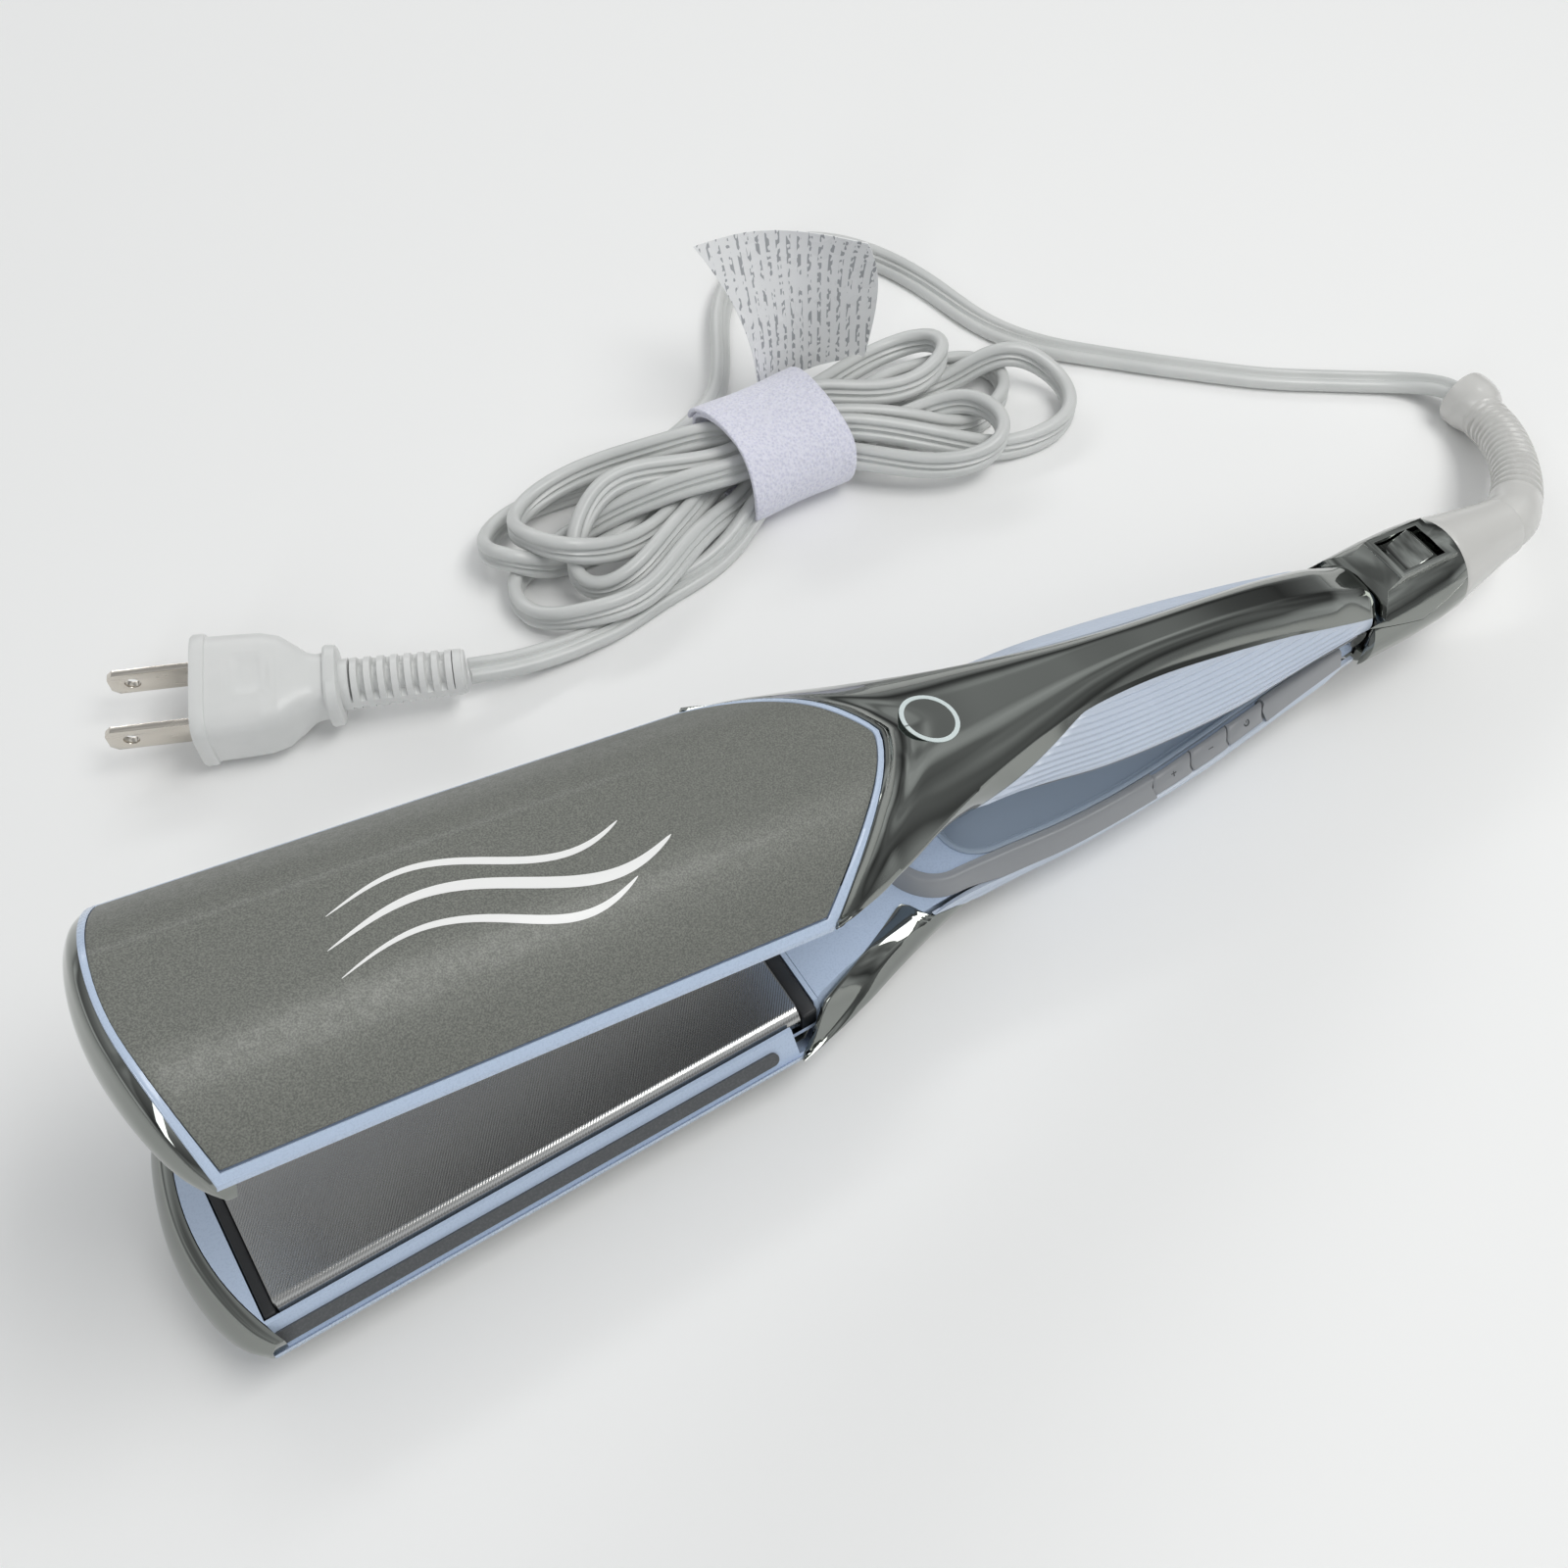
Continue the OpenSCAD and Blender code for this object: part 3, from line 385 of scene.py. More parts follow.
def add_piece(name, place, mesh, paint, body, slot, replaces=(), rounding=0.0, segments=2, angle=35.0):
    """A mesh put in its place, with its finish, its body and the CAD nodes that it stands for."""
    points, faces = mesh
    data = bpy.data.meshes.new(name)
    data.from_pydata(place(points).reshape(-1, 3).tolist(), [], faces)
    work = bmesh.new()
    work.from_mesh(data)
    bmesh.ops.remove_doubles(work, verts=work.verts, dist=2e-6)
    bmesh.ops.recalc_face_normals(work, faces=work.faces)
    work.to_mesh(data)
    work.free()
    obj = bpy.data.objects.new(name, data)
    bpy.context.scene.collection.objects.link(obj)
    if rounding:
        bevel(obj, rounding, segments)
    obj.data.materials.clear()
    obj.data.materials.append(PAINTS[paint].material)
    smooth_shade(obj, angle)
    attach(obj, body)
    if replaces:
        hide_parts(*replaces)
    return obj


def add_arm_piece(side, name, mesh, paint, slot, node="", body=None, **look):
    """A piece of one arm, from a mesh in that arm's own frame, that stands for one of its CAD nodes."""
    place, arm_body = ARMS[side]
    replaces = [f"{side}_{node}"] if node else ()
    add_piece(f"{side}_{name}", place, mesh, paint, body or arm_body, slot, replaces, **look)


def grid_faces(rows, columns, start=0, wrap=False):
    last = columns if wrap else columns - 1
    return [(start + i * columns + j, start + i * columns + (j + 1) % columns,
             start + (i + 1) * columns + (j + 1) % columns, start + (i + 1) * columns + j)
            for i in range(rows - 1) for j in range(last)]


def tube_mesh(rings):
    """Closed mesh through rings of points, with its two ends filled."""
    rings = np.asarray(rings, float)
    m, n = rings.shape[:2]
    faces = grid_faces(m, n, wrap=True)
    faces.append(tuple(range(n - 1, -1, -1)))
    faces.append(tuple(range((m - 1) * n, m * n)))
    return rings.reshape(-1, 3), faces


def shell_mesh(surface, thickness, away):
    """Closed skin of that thickness behind a grid of points, whose outside faces away from a point."""
    surface = np.asarray(surface, float)
    m, n = surface.shape[:2]
    normal = np.cross(np.gradient(surface, axis=0), np.gradient(surface, axis=1))
    normal /= np.maximum(np.linalg.norm(normal, axis=-1, keepdims=True), 1e-9)
    if np.mean(np.sum(normal * (surface - away), -1)) < 0:
        normal = -normal
    behind = surface - normal * thickness
    points = np.concatenate([surface.reshape(-1, 3), behind.reshape(-1, 3)])
    size = m * n
    faces = grid_faces(m, n) + grid_faces(m, n, size)
    border = ([j for j in range(n)] + [i * n + n - 1 for i in range(1, m)]
              + [(m - 1) * n + j for j in range(n - 2, -1, -1)] + [i * n for i in range(m - 2, 0, -1)])
    faces += [(a, b, b + size, a + size) for a, b in zip(border, border[1:] + border[:1])]
    return points, faces


def taken_mesh(work):
    """Points and faces of a bmesh, which is freed."""
    work.verts.index_update()
    mesh = [v.co[:] for v in work.verts], [tuple(v.index for v in f.verts) for f in work.faces]
    work.free()
    return mesh


def box_mesh(low, high):
    (x0, y0, z0), (x1, y1, z1) = low, high
    points = [(x, y, z) for x in (x0, x1) for y in (y0, y1) for z in (z0, z1)]
    faces = [(0, 1, 3, 2), (4, 6, 7, 5), (0, 4, 5, 1), (2, 3, 7, 6), (0, 2, 6, 4), (1, 5, 7, 3)]
    return np.array(points, float), faces


def spline(points, per_span):
    """Smooth curve through points (Catmull-Rom), with so many steps for each span."""
    p = np.asarray(points, float)
    p = np.concatenate([[2 * p[0] - p[1]], p, [2 * p[-1] - p[-2]]])
    out = []
    for i in range(1, len(p) - 2):
        for t in np.arange(per_span) / per_span:
            a, b, c, d = p[i - 1:i + 3]
            out.append(b + 0.5 * t * (c - a + t * (2 * a - 5 * b + 4 * c - d + t * (3 * (b - c) + d - a))))
    out.append(p[-2])
    return np.array(out)


def even(points, step):
    """The same line with its points a fixed step apart."""
    gaps = np.linalg.norm(np.diff(points[:, :3], axis=0), axis=1)
    along = np.concatenate([[0], np.cumsum(gaps)])
    places = np.linspace(0, along[-1], max(2, int(round(along[-1] / step)) + 1))
    return np.stack([np.interp(places, along, points[:, k]) for k in range(points.shape[1])], -1)


def line_frames(line):
    """Heading, level side and upward direction at each point of a line."""
    heading = np.gradient(line, axis=0)
    heading /= np.linalg.norm(heading, axis=1, keepdims=True)
    side = np.cross(heading, [0, 0, 1])
    side /= np.linalg.norm(side, axis=1, keepdims=True)
    return heading, side, np.cross(side, heading)


def full_turn(count):
    """Angles of so many points evenly round a circle."""
    return np.linspace(0, 2 * math.pi, count, endpoint=False)


def oval(a, b, count, power):
    """Outline between an ellipse (power 1) and a box (power 0)."""
    t = full_turn(count)
    c, s = np.cos(t), np.sin(t)
    return np.stack([a * np.sign(c) * np.abs(c) ** power, b * np.sign(s) * np.abs(s) ** power], -1)


# ---------- shape of an arm

HALF_W, RIM_Z = 23.4, 6.1           # half width of the head, and height of the panel's long edges
NOSE_X, FRONT_ARC = 235.0, 5.8      # the panel's front corners, and how far its middle is ahead of them
REAR_X, REAR_ARC, REAR_POWER = 140.0, 21.3, 1.4     # the same at its pointed rear arch
INNER_Z, DECK_Z = 1.2, 3.9          # inner face at the plate, and the deck behind it

# x, half width and height of the cover's edge, height of the crown, half width and height of the
# widest line, half width of the inner face
STATIONS = np.array([
    [0, 7.4, 6.8, 10.3, 8.2, 4, 6], [12, 7.4, 9, 13.2, 9.4, 4, 7], [26, 6.8, 11.2, 15.4, 11.2, 4, 8.2],
    [42, 6.1, 12.6, 16.7, 13.2, 4, 9.8], [60, 5.8, 13.6, 17, 14.2, 4, 11.2],
    [76, 6.8, 13.7, 16.5, 14.2, 4, 11], [90, 9.2, 12.6, 15.6, 13, 4, 9.6],
    [102, 12.2, 11.2, 15.1, 12.6, 4, 8.8], [114, 16, 9.6, 15.4, 14.4, 4.4, 9.8],
    [126, 20.2, 7.8, 16.3, 18.8, 5.2, 13.8], [134, 22.4, 6.6, 16.8, 21.8, 5.8, 17.2],
    [140, 23.4, 6.1, 17, 23.3, 6, 19.8]])


def station(x, column):
    """One column of STATIONS as a smooth curve along x (Catmull-Rom)."""
    x = np.asarray(x, float)
    xs, values = STATIONS[:, 0], STATIONS[:, column]
    last = len(xs) - 1
    i = np.clip(np.searchsorted(xs, x, "right") - 1, 0, last - 1)
    t = (x - xs[i]) / (xs[i + 1] - xs[i])
    a, b, c, d = (values[np.clip(i + k, 0, last)] for k in (-1, 0, 1, 2))
    return b + t * ((c - a) / 2 + t * ((a - 2.5 * b + 2 * c - d / 2) + t * ((d - a) / 2 + 1.5 * (b - c))))


edge_y, edge_z, top_z, wide_y, wide_z, inner_y = (partial(station, column=k) for k in range(1, 7))


def crown(y, half_w, edge, top):
    """Height across a face that is flat in its middle quarter and falls to its edges."""
    u = np.maximum(0, (np.abs(y) / half_w - 0.25) / 0.75)
    return edge + (top - edge) * (1 - u * u)


def head_crown(y):
    return crown(y, HALF_W, RIM_Z, CROWN_Z)


def front_x(u):
    """Front end of the panel at u, from -1 to 1 across it."""
    return NOSE_X + FRONT_ARC * (1 - u * u)


def arch_x(u):
    return REAR_X - REAR_ARC * (1 - np.abs(u) ** REAR_POWER)


def deck_z(x):
    return mix(DECK_Z, INNER_Z, ease(ramp(x, 112, 133)))


# ---------- head


def add_panel(side):
    inset, front_inset = 1.12, 0.85     # the rim's width beside it and in front
    uu, rr = np.meshgrid(np.linspace(-1, 1, 91), np.linspace(0, 1, 61))
    y = uu * (HALF_W - inset)
    x = mix(arch_x(uu) + inset, front_x(uu) - front_inset, rr)
    mesh = shell_mesh(np.stack([x, y, head_crown(y) + 0.02], -1), 1.1, (190, 0, 0))
    add_arm_piece(side, "panel_skin", mesh, "panel", "panel", "panel", rounding=0.00025, segments=3)


def add_rim(side):
    """Pale bead between the panel and the chrome, all the way round the head."""
    u = np.linspace(-1, 1, 81)
    r = np.linspace(0, 1, 80)[1:-1]
    plan = [(u, 0 * u), (1 + 0 * r, r), (u[::-1], 1 + 0 * u), (-1 + 0 * r, r[::-1])]
    uu = np.concatenate([p[0] for p in plan])
    rr = np.concatenate([p[1] for p in plan])
    lanes = []
    section = [(-0.04, 1.3), (-0.04, 0.22), (0.14, 0.0), (0.5, -0.05), (0.86, -0.02), (1.02, 0.18),
               (1.02, 1.3)]         # inset from the outline, drop below the crown
    for inset, drop in section:
        y = uu * (HALF_W - inset)
        x = mix(arch_x(uu) + inset, front_x(uu) - inset * 0.78, rr)
        lanes.append(np.stack([x, y, head_crown(uu * (HALF_W - max(inset, 0))) - drop], -1))
    m, n = len(lanes), len(uu)
    faces = grid_faces(m, n, wrap=True)
    faces += [((m - 1) * n + j, (m - 1) * n + (j + 1) % n, (j + 1) % n, j) for j in range(n)]
    add_arm_piece(side, "rim_bead", (lanes, faces), "blue", "frame_blue", angle=50)


def add_motif():
    """Three tapered waves on the upper panel, like combed strands of hair."""
    place, body = ARMS["upper"]
    strands = ((168, 8.0, 44, 3.9, 1.2), (160, 3.4, 52, 4.6, 1.9), (166, -1.8, 44, 3.9, 1.2))
    for number, (x0, y0, length, swing, width) in enumerate(strands):
        t = np.linspace(0, 1, 90)
        x = x0 + length * t
        y = y0 + swing * np.sin(2 * math.pi * (0.95 * t + 0.05)) * (1 - 0.35 * t)
        slope = np.gradient(y) / np.gradient(x)
        nx, ny = -slope / np.hypot(1, slope), 1 / np.hypot(1, slope)
        half = 0.5 * width * np.sin(math.pi * t ** 0.75) ** 0.8 + 0.04
        across = np.linspace(-1, 1, 5)
        px = x[:, None] + nx[:, None] * half[:, None] * across
        py = y[:, None] + ny[:, None] * half[:, None] * across
        mesh = shell_mesh(np.stack([px, py, head_crown(py) + 0.07], -1), 0.06, (190, 0, 0))
        add_piece(f"panel_motif_{number}", place, mesh, "motif", body, "ring_pale")


def add_nose_cap(side):
    u = np.linspace(-1, 1, 81)
    a = np.linspace(0, math.pi, 25)
    uu, aa = np.meshgrid(u, a, indexing="ij")
    y = uu * HALF_W
    z1 = head_crown(y) - 0.42
    swell = 2.2 * (1 - uu ** 8) + 0.35
    lip = 0.35 * np.exp(-((aa - 0.25) / 0.22) ** 2)
    x = front_x(uu) + 0.06 + (swell + lip) * np.sin(aa) ** 0.6 - 0.6 * (1 - np.cos(aa)) ** 2 / 2
    z = z1 + (INNER_Z - z1) * aa / math.pi
    front = np.stack([x, y, z], -1)
    top = head_crown(u * HALF_W)
    back = [np.stack([front_x(u) + dx, u * HALF_W, height], -1)[:, None]
            for dx, height in ((-2.45, np.full_like(u, INNER_Z)), (-2.45, top - 1.95), (0.06, top - 1.95))]
    rings = np.concatenate([front] + back, 1)
    add_arm_piece(side, "nose_shell", tube_mesh(rings), "chrome", "chrome_cover", "nose_cap", angle=50)


PLATE_L, PLATE_HALF_W = 94.6, 18.8


def add_plate(side):
    """The rolled metal plate and the black blocks at its ends."""
    body = f"{side}_plate_group"
    x1 = NOSE_X - 3.2
    x0 = x1 - PLATE_L
    w, gap, r, top = PLATE_HALF_W, 0.15, 2.4, 3.4       # half width, gap to the other plate, roll, depth
    arc = np.radians(np.linspace(0, 90, 13))
    roll = np.stack([w - r * (1 - np.cos(arc)), gap + r * (1 - np.sin(arc))], -1)
    side_line = np.concatenate([[[w, top]], roll])
    outline = np.concatenate([side_line, side_line[::-1] * [-1, 1]])
    ends = ((x0, 0.985), (x0 + 0.3, 1), (x1 - 0.3, 1), (x1, 0.985))
    rings = [[(x, y * g, z + (1 - g) * 12) for y, z in outline] for x, g in ends]
    add_arm_piece(side, "plate_face", tube_mesh(rings), "plate", "plate", "plate", body, angle=30)
    for name, a, b in (("rear", x0 - 3, x0 - 0.1), ("front", x1 + 0.1, x1 + 2.05)):
        mesh = box_mesh((a, -w - 0.1, 0.9), (b, w + 0.1, 5.9))
        add_arm_piece(side, f"{name}_block", mesh, "black", "block_black", "plate_ends", body,
                      rounding=0.0004, segments=3)


# ---------- chrome cover and grips


def border_share(x):
    """How far the cover's border has gone down: 1 at the widest line, 2 at the end of the wrap."""
    down = ramp(x, 75, 106) ** 1.4
    wrap = ease(ramp(x, 105.5, 110)) * (1 - ease(ramp(x, 131, 139.6)))
    return np.maximum(0.07, down + wrap * (x > 100))


def wall_path(x, share):
    """Point on the way from the cover's edge (0) over the widest line (1) to the wrap's end (2)."""
    edge = np.stack([edge_y(x), edge_z(x)], -1)
    wide = np.stack([wide_y(x), wide_z(x)], -1)
    inner = np.stack([np.minimum(7.6 + 0.475 * (x - 109), wide_y(x) - 0.3), deck_z(x) - 0.35], -1)
    down = np.clip(share, 0, 1)[..., None]
    wrap = np.clip(share - 1, 0, 1)[..., None]
    point = edge + (wide - edge) * down + (inner - wide) * wrap
    swell = 0.5 * np.sin(math.pi * down[..., 0])
    round_off = 0.35 * np.sin(math.pi * wrap[..., 0])
    return point + np.stack([swell, -round_off], -1)


def add_cover(side):
    u = np.linspace(-1, 1, 69)
    k = np.linspace(1, 0, 16, endpoint=False)
    end_x = arch_x(u) - 0.35            # ends just short of the rim
    surface = []
    for s in 1 - (1 - np.linspace(0, 1, 120)) ** 1.25:
        x = s * end_x
        w = edge_y(x)
        y = u * HALF_W / edge_y(arch_x(u)) * w
        z = crown(y, w, edge_z(x), top_z(x))
        away = end_x - x
        lip = np.exp(-(away / 1.3) ** 2) + 0.45 * np.exp(-(away / 4.5) ** 2)
        lip -= 0.45 * np.exp(-((away - 5) / 3.2) ** 2)
        z = z + (head_crown(u * HALF_W) - z) * np.clip(lip, -1, 1) * (s > 0.3)
        wall_x = np.full_like(k, x[0])
        out, up = wall_path(wall_x, border_share(x[0]) * k).T
        near, far = (np.stack([wall_x, hand * out, up], -1) for hand in (-1, 1))
        surface.append(np.concatenate([near, np.stack([x, y, z], -1), far[::-1]]))
    mesh = shell_mesh(np.array(surface), 0.9, (70, 0, 4))
    add_arm_piece(side, "cover_skin", mesh, "chrome", "chrome_cover", "cover", rounding=0.0003, angle=50)


SCREW_X, SCREW_Y = 118, 6
DECK_X, DECK_FALL = 113, 0.1421     # where the deck starts to fall, and its slope


def add_screw_covers(side):
    """Flush discs over the two screws, on the deck that falls towards the plate."""
    angles = full_turn(40)
    for hand, name in HANDS:
        rings = []
        for radius, depth in ((2.35, 0.9), (2.35, 0.02), (2.2, -0.05), (0.4, -0.05)):
            x = SCREW_X + radius * np.cos(angles)
            deck = DECK_Z - DECK_FALL * (x - DECK_X)
            rings.append(np.stack([x, hand * SCREW_Y + radius * np.sin(angles), deck + depth], -1))
        add_arm_piece(side, f"screw_cover_{name}", tube_mesh(rings), "blue", "frame_blue")


RING_X, RING_IN, RING_OUT = 107.8, 4.35, 5.15


def add_ring():
    """Pale ring printed on the upper cover."""
    place, body = ARMS["upper"]
    tt, rr = np.meshgrid(np.linspace(0, 2 * math.pi, 97), np.linspace(RING_IN, RING_OUT, 5), indexing="ij")
    x, y = RING_X + rr * np.cos(tt), rr * np.sin(tt)
    z = crown(y, edge_y(x), edge_z(x), top_z(x)) + 0.06
    mesh = shell_mesh(np.stack([x, y, z], -1), 0.1, (108, 0, 0))
    add_piece("cover_ring_line", place, mesh, "ring", body, "ring_pale", ["cover_ring"])


RIB_PITCH, RIB_DEPTH = 1.05, 0.46


def add_grips(side):
    """Ribbed pale sides, from the cover's border down to the widest line."""
    x = np.linspace(0.8, 105.2, 190)
    t = np.linspace(0, 1, 96)
    for hand, name in HANDS:
        top = wall_path(x, border_share(x))
        run = np.stack([wide_y(x), wide_z(x) + 0.15], -1) - top
        length = np.linalg.norm(run, axis=1)
        normal = np.stack([-run[:, 1], run[:, 0]], -1) / length[:, None]
        normal *= np.sign(normal[:, :1])
        base = top[:, None] + run[:, None] * t[None, :, None]
        below, above = length[:, None] * (1 - t), length[:, None] * t
        ribs = RIB_DEPTH / 2 * (1 - np.cos(2 * math.pi * below / RIB_PITCH))
        ribs = ribs * ease(ramp(below, 0, 0.9)) * ease(ramp(above, 0, 0.8)) * ease(ramp(x, 3, 9))[:, None]
        swell = 0.95 * (length / 9)[:, None] * 4 * t * (1 - t) - 0.12
        line = base + normal[:, None] * (swell + ribs)[..., None]
        xx = np.repeat(x[:, None], len(t), 1)
        surface = np.stack([xx, hand * line[..., 0], line[..., 1]], -1)
        mesh = shell_mesh(surface, 0.9, (50, 0, 8))
        add_arm_piece(side, f"grip_{name}", mesh, "grip", "grip_white", "grips", angle=60)


# ---------- band, buttons, recess

BAND_X0, BAND_X1, BAND_FRONT = 4.6, 98.0, 8.4
BUTTON_X0, BUTTON_L, PLAY = 26.5, 9.4, 0.3
BUTTONS_X1 = BUTTON_X0 + 3 * (BUTTON_L + PLAY) + PLAY
BOW = 0.9                           # how far the cut lines between the buttons bend


def band_profile(x, front):
    """Radial offset from the recess's edge, and height, of points round the band's section."""
    out = mix(wide_y(x) - inner_y(x), 2.5, front)
    foot = mix(wide_z(x) - 0.1, DECK_Z - 0.05, front)
    return [(out, foot), (0.25 * out + 0.75 * 1.2, mix(foot, 0.9, 0.78)), (1.12, 0.75), (0.9, 0.55),
            (0.55, 0.45), (-0.35, 0.45), (-0.6, 0.6), (-0.65, 1.6), (0.1, 2.0), (max(out - 1.2, 0.4), foot)]


def band_ring(x, turn, hand=1):
    """One section: beside the handle at x, or at an angle round the front."""
    if turn is None:
        return [(x, hand * (inner_y(x) + r), z) for r, z in band_profile(x, float(ease(ramp(x, 88, 98))))]
    b = float(inner_y(BAND_X1))
    nx, ny = math.cos(turn) * b, math.sin(turn) * BAND_FRONT
    size = math.hypot(nx, ny)
    cx, cy = BAND_X1 + BAND_FRONT * abs(math.cos(turn)) ** 0.9, b * math.sin(turn)
    return [(cx + nx / size * r, cy + ny / size * r, z) for r, z in band_profile(BAND_X1, 1.0)]


def bowed(points):
    """Bends the cut lines between the buttons: x shifts with the height on the slanted side."""
    p = np.array(points, float)
    share = np.clip((p[:, 2] - 0.45) / 3.5, 0, 1)
    p[:, 0] += BOW * (4 * share * (1 - share)) - 0.5 * BOW
    return p


def band_run(x0, x1, count, hand=1):
    return [band_ring(x, None, hand) for x in np.linspace(x0, x1, count)]


def add_band(side):
    has_buttons = side == "lower"
    turns = [band_ring(None, t) for t in np.radians(np.linspace(84, -84, 29))]
    start = BUTTONS_X1 if has_buttons else BAND_X0
    rings = band_run(start, BAND_X1, 40) + turns + band_run(BAND_X1, BAND_X0, 60, -1)
    if has_buttons:
        rings[0] = bowed(rings[0])
    add_arm_piece(side, "band_front", tube_mesh(rings), "band", "trim_grey", "trim_band")
    if has_buttons:
        rings = band_run(BAND_X0, BUTTON_X0, 14)
        rings[-1] = bowed(rings[-1])
        add_arm_piece(side, "band_rear", tube_mesh(rings), "band", "trim_grey", "trim_band")


def handle_side(x):
    """Inner edge, width and height of the slanted side that the band covers."""
    return float(inner_y(x)), float(wide_y(x) - inner_y(x)), float(wide_z(x))


def button_ring(x, shrink):
    b, w, h = handle_side(x)
    profile = [(0.22 * w + 0.702, 0.78), (1.05, 0.55), (0.75, 0.42), (0.1, 0.42), (0.2, 1.0),
               (w * 0.5, h * 0.62), (mix(1.0, w, 0.8) + 0.12, mix(0.6, h, 0.78)),
               (mix(1.0, w, 0.5) + 0.22, mix(0.6, h, 0.46))]
    return [(x, b + r - shrink * 0.25, z + shrink * 0.2) for r, z in profile]


def add_buttons():
    place = ARMS["lower"][0]
    for i, name in enumerate(("power_button", "minus_button", "plus_button")):
        x0 = BUTTON_X0 + PLAY + i * (BUTTON_L + PLAY)
        ends = [(0, 1), (0.25, 0.45), (0.6, 0), (3, 0)]
        steps = ends + [(BUTTON_L / 2, 0)] + [(BUTTON_L - d, shrink) for d, shrink in ends[::-1]]
        rings = [bowed(button_ring(x0 + d, shrink)) for d, shrink in steps]
        for ring, (d, _) in zip(rings, steps):
            ring[5, 0] = x0 + d + 0.2       # the hidden inner edge stays clear of the pocket's end wall
        add_piece(f"{name}_cap", place, tube_mesh(rings), "band", name, "trim_grey", [name], angle=30)
        add_button_sign(name, x0 + BUTTON_L / 2)


def add_button_sign(name, x):
    """Raised minus, plus or power sign in the middle of a button."""
    place = ARMS["lower"][0]
    b, w, h = handle_side(x)
    low = np.array([b + mix(1.0, w, 0.5) + 0.22, mix(0.6, h, 0.46)])
    high = np.array([b + 1.05, 0.6])
    up = (high - low) / np.linalg.norm(high - low)
    out = np.array([-up[1], up[0]])
    out *= np.sign(out[0])
    middle = (low + high) / 2 + out * 0.10

    def bar(dx, dv, half_x, half_v):
        corners = [(dx + sx * half_x, dv + sv * half_v) for sx, sv in ((-1, -1), (1, -1), (1, 1), (-1, 1))]
        ring = [[(x + p, *(middle + up * v + out * lift)) for p, v in corners] for lift in (-0.05, 0.05)]
        return tube_mesh(ring)

    level, upright = bar(0, 0, 0.6, 0.09), bar(0, 0, 0.09, 0.6)
    arc = [bar(0.6 * math.cos(a), 0.6 * math.sin(a), 0.12, 0.12) for a in np.radians(np.arange(130, 411, 20))]
    bars = {"minus_button": [level], "plus_button": [level, upright],
            "power_button": [bar(0, 0.35, 0.09, 0.35)] + arc}[name]
    points = np.concatenate([p for p, _ in bars])
    faces = [tuple(i + 8 * k for i in face) for k, (_, own) in enumerate(bars) for face in own]
    add_piece(f"{name}_sign", place, (points, faces), "strip", name, "strip_dark")


RECESS_X0, RECESS_X1, RECESS_FRONT = 16.0, 96.0, 8.0


def recess_loop(inset, z):
    """Closed outline of the recess at an inset, as points on its two mirrored sides."""
    turn_x = RECESS_X1 - RECESS_FRONT
    mouth = float(inner_y(turn_x)) - 1.6
    half = [(x, float(inner_y(x)) - 1.6 - inset) for x in np.linspace(RECESS_X0 + inset, turn_x, 26)]
    half += [(turn_x + (RECESS_FRONT - inset) * math.cos(a), (mouth - inset) * math.sin(a) ** 0.75)
             for a in np.radians(np.linspace(80, 2, 14))]
    return [(x, y, z) for x, y in half] + [(x, -y, z) for x, y in half[::-1]]


def add_recess(side):
    """Stepped pale-blue floor between the trim band's two sides."""
    section = [(-0.75, 1.5), (-0.75, 0.85), (-0.5, 0.7), (0.0, 0.75), (0.25, 1.0), (0.45, 2.3), (0.7, 2.5),
               (1.3, 2.5), (1.6, 2.75), (1.8, 4.5), (2.3, 5.0), (3.2, 5.1), (-0.75, 5.9)]
    points = np.array([recess_loop(inset, z) for inset, z in section])
    m, n = len(section) - 1, points.shape[1]        # the last loop is the back's, joined to the first

    def strips(base):
        return [(base + j, base + j + 1, base + n - 2 - j, base + n - 1 - j) for j in range(n // 2 - 1)]

    faces = grid_faces(m, n, wrap=True) + strips((m - 1) * n)
    faces += [(j, (j + 1) % n, m * n + (j + 1) % n, m * n + j) for j in range(n)] + strips(m * n)
    add_arm_piece(side, "recess", (points, faces), "recess", "floor_blue", "inner_floor", angle=32)


# ---------- neck and boot


def add_neck():
    """Pale cone behind the hinge cap, with a moulding line along two of its sides."""
    outside = [(-26.0, 9.75), (-27, 9.75), (-30, 9.1), (-36, 7.9), (-42, 6.8), (-45.6, 6.3), (-46, 6.0)]
    profile = np.concatenate([[(-26.0, 0.5), (-26.0, 8)], spline(outside, 5), [(-46, 4.4), (-45, 4.2)]])
    x, radius = profile[:, :1], profile[:, 1:]
    angles = full_turn(72)
    groove = 0.12 * (1 - np.minimum(np.abs(np.sin(angles - 0.6)) / 0.05, 1))
    radius = radius - groove * (radius > 6)
    rings = np.stack([x + 0 * radius, radius * np.cos(angles), radius * np.sin(angles)], -1)
    add_piece("neck_shell", from_hinge, tube_mesh(rings), "neck", "swivel", "neck_white", ["swivel_neck"],
              angle=40)


# Each point of the boot: x, y, z and radius.
BOOT = [(-45.5, 0, 0, 5.6), (-48.5, -0.4, 0, 5.8), (-52, -2, -0.4, 5.6), (-60, -8, -2, 5.0),
        (-68, -16, -5, 4.8), (-74, -24, -8, 4.8), (-77, -31, -10, 5.0), (-78.6, -35, -10.8, 6.2),
        (-79, -39, -11.1, 6.2), (-79, -41, -11.2, 5.4)]


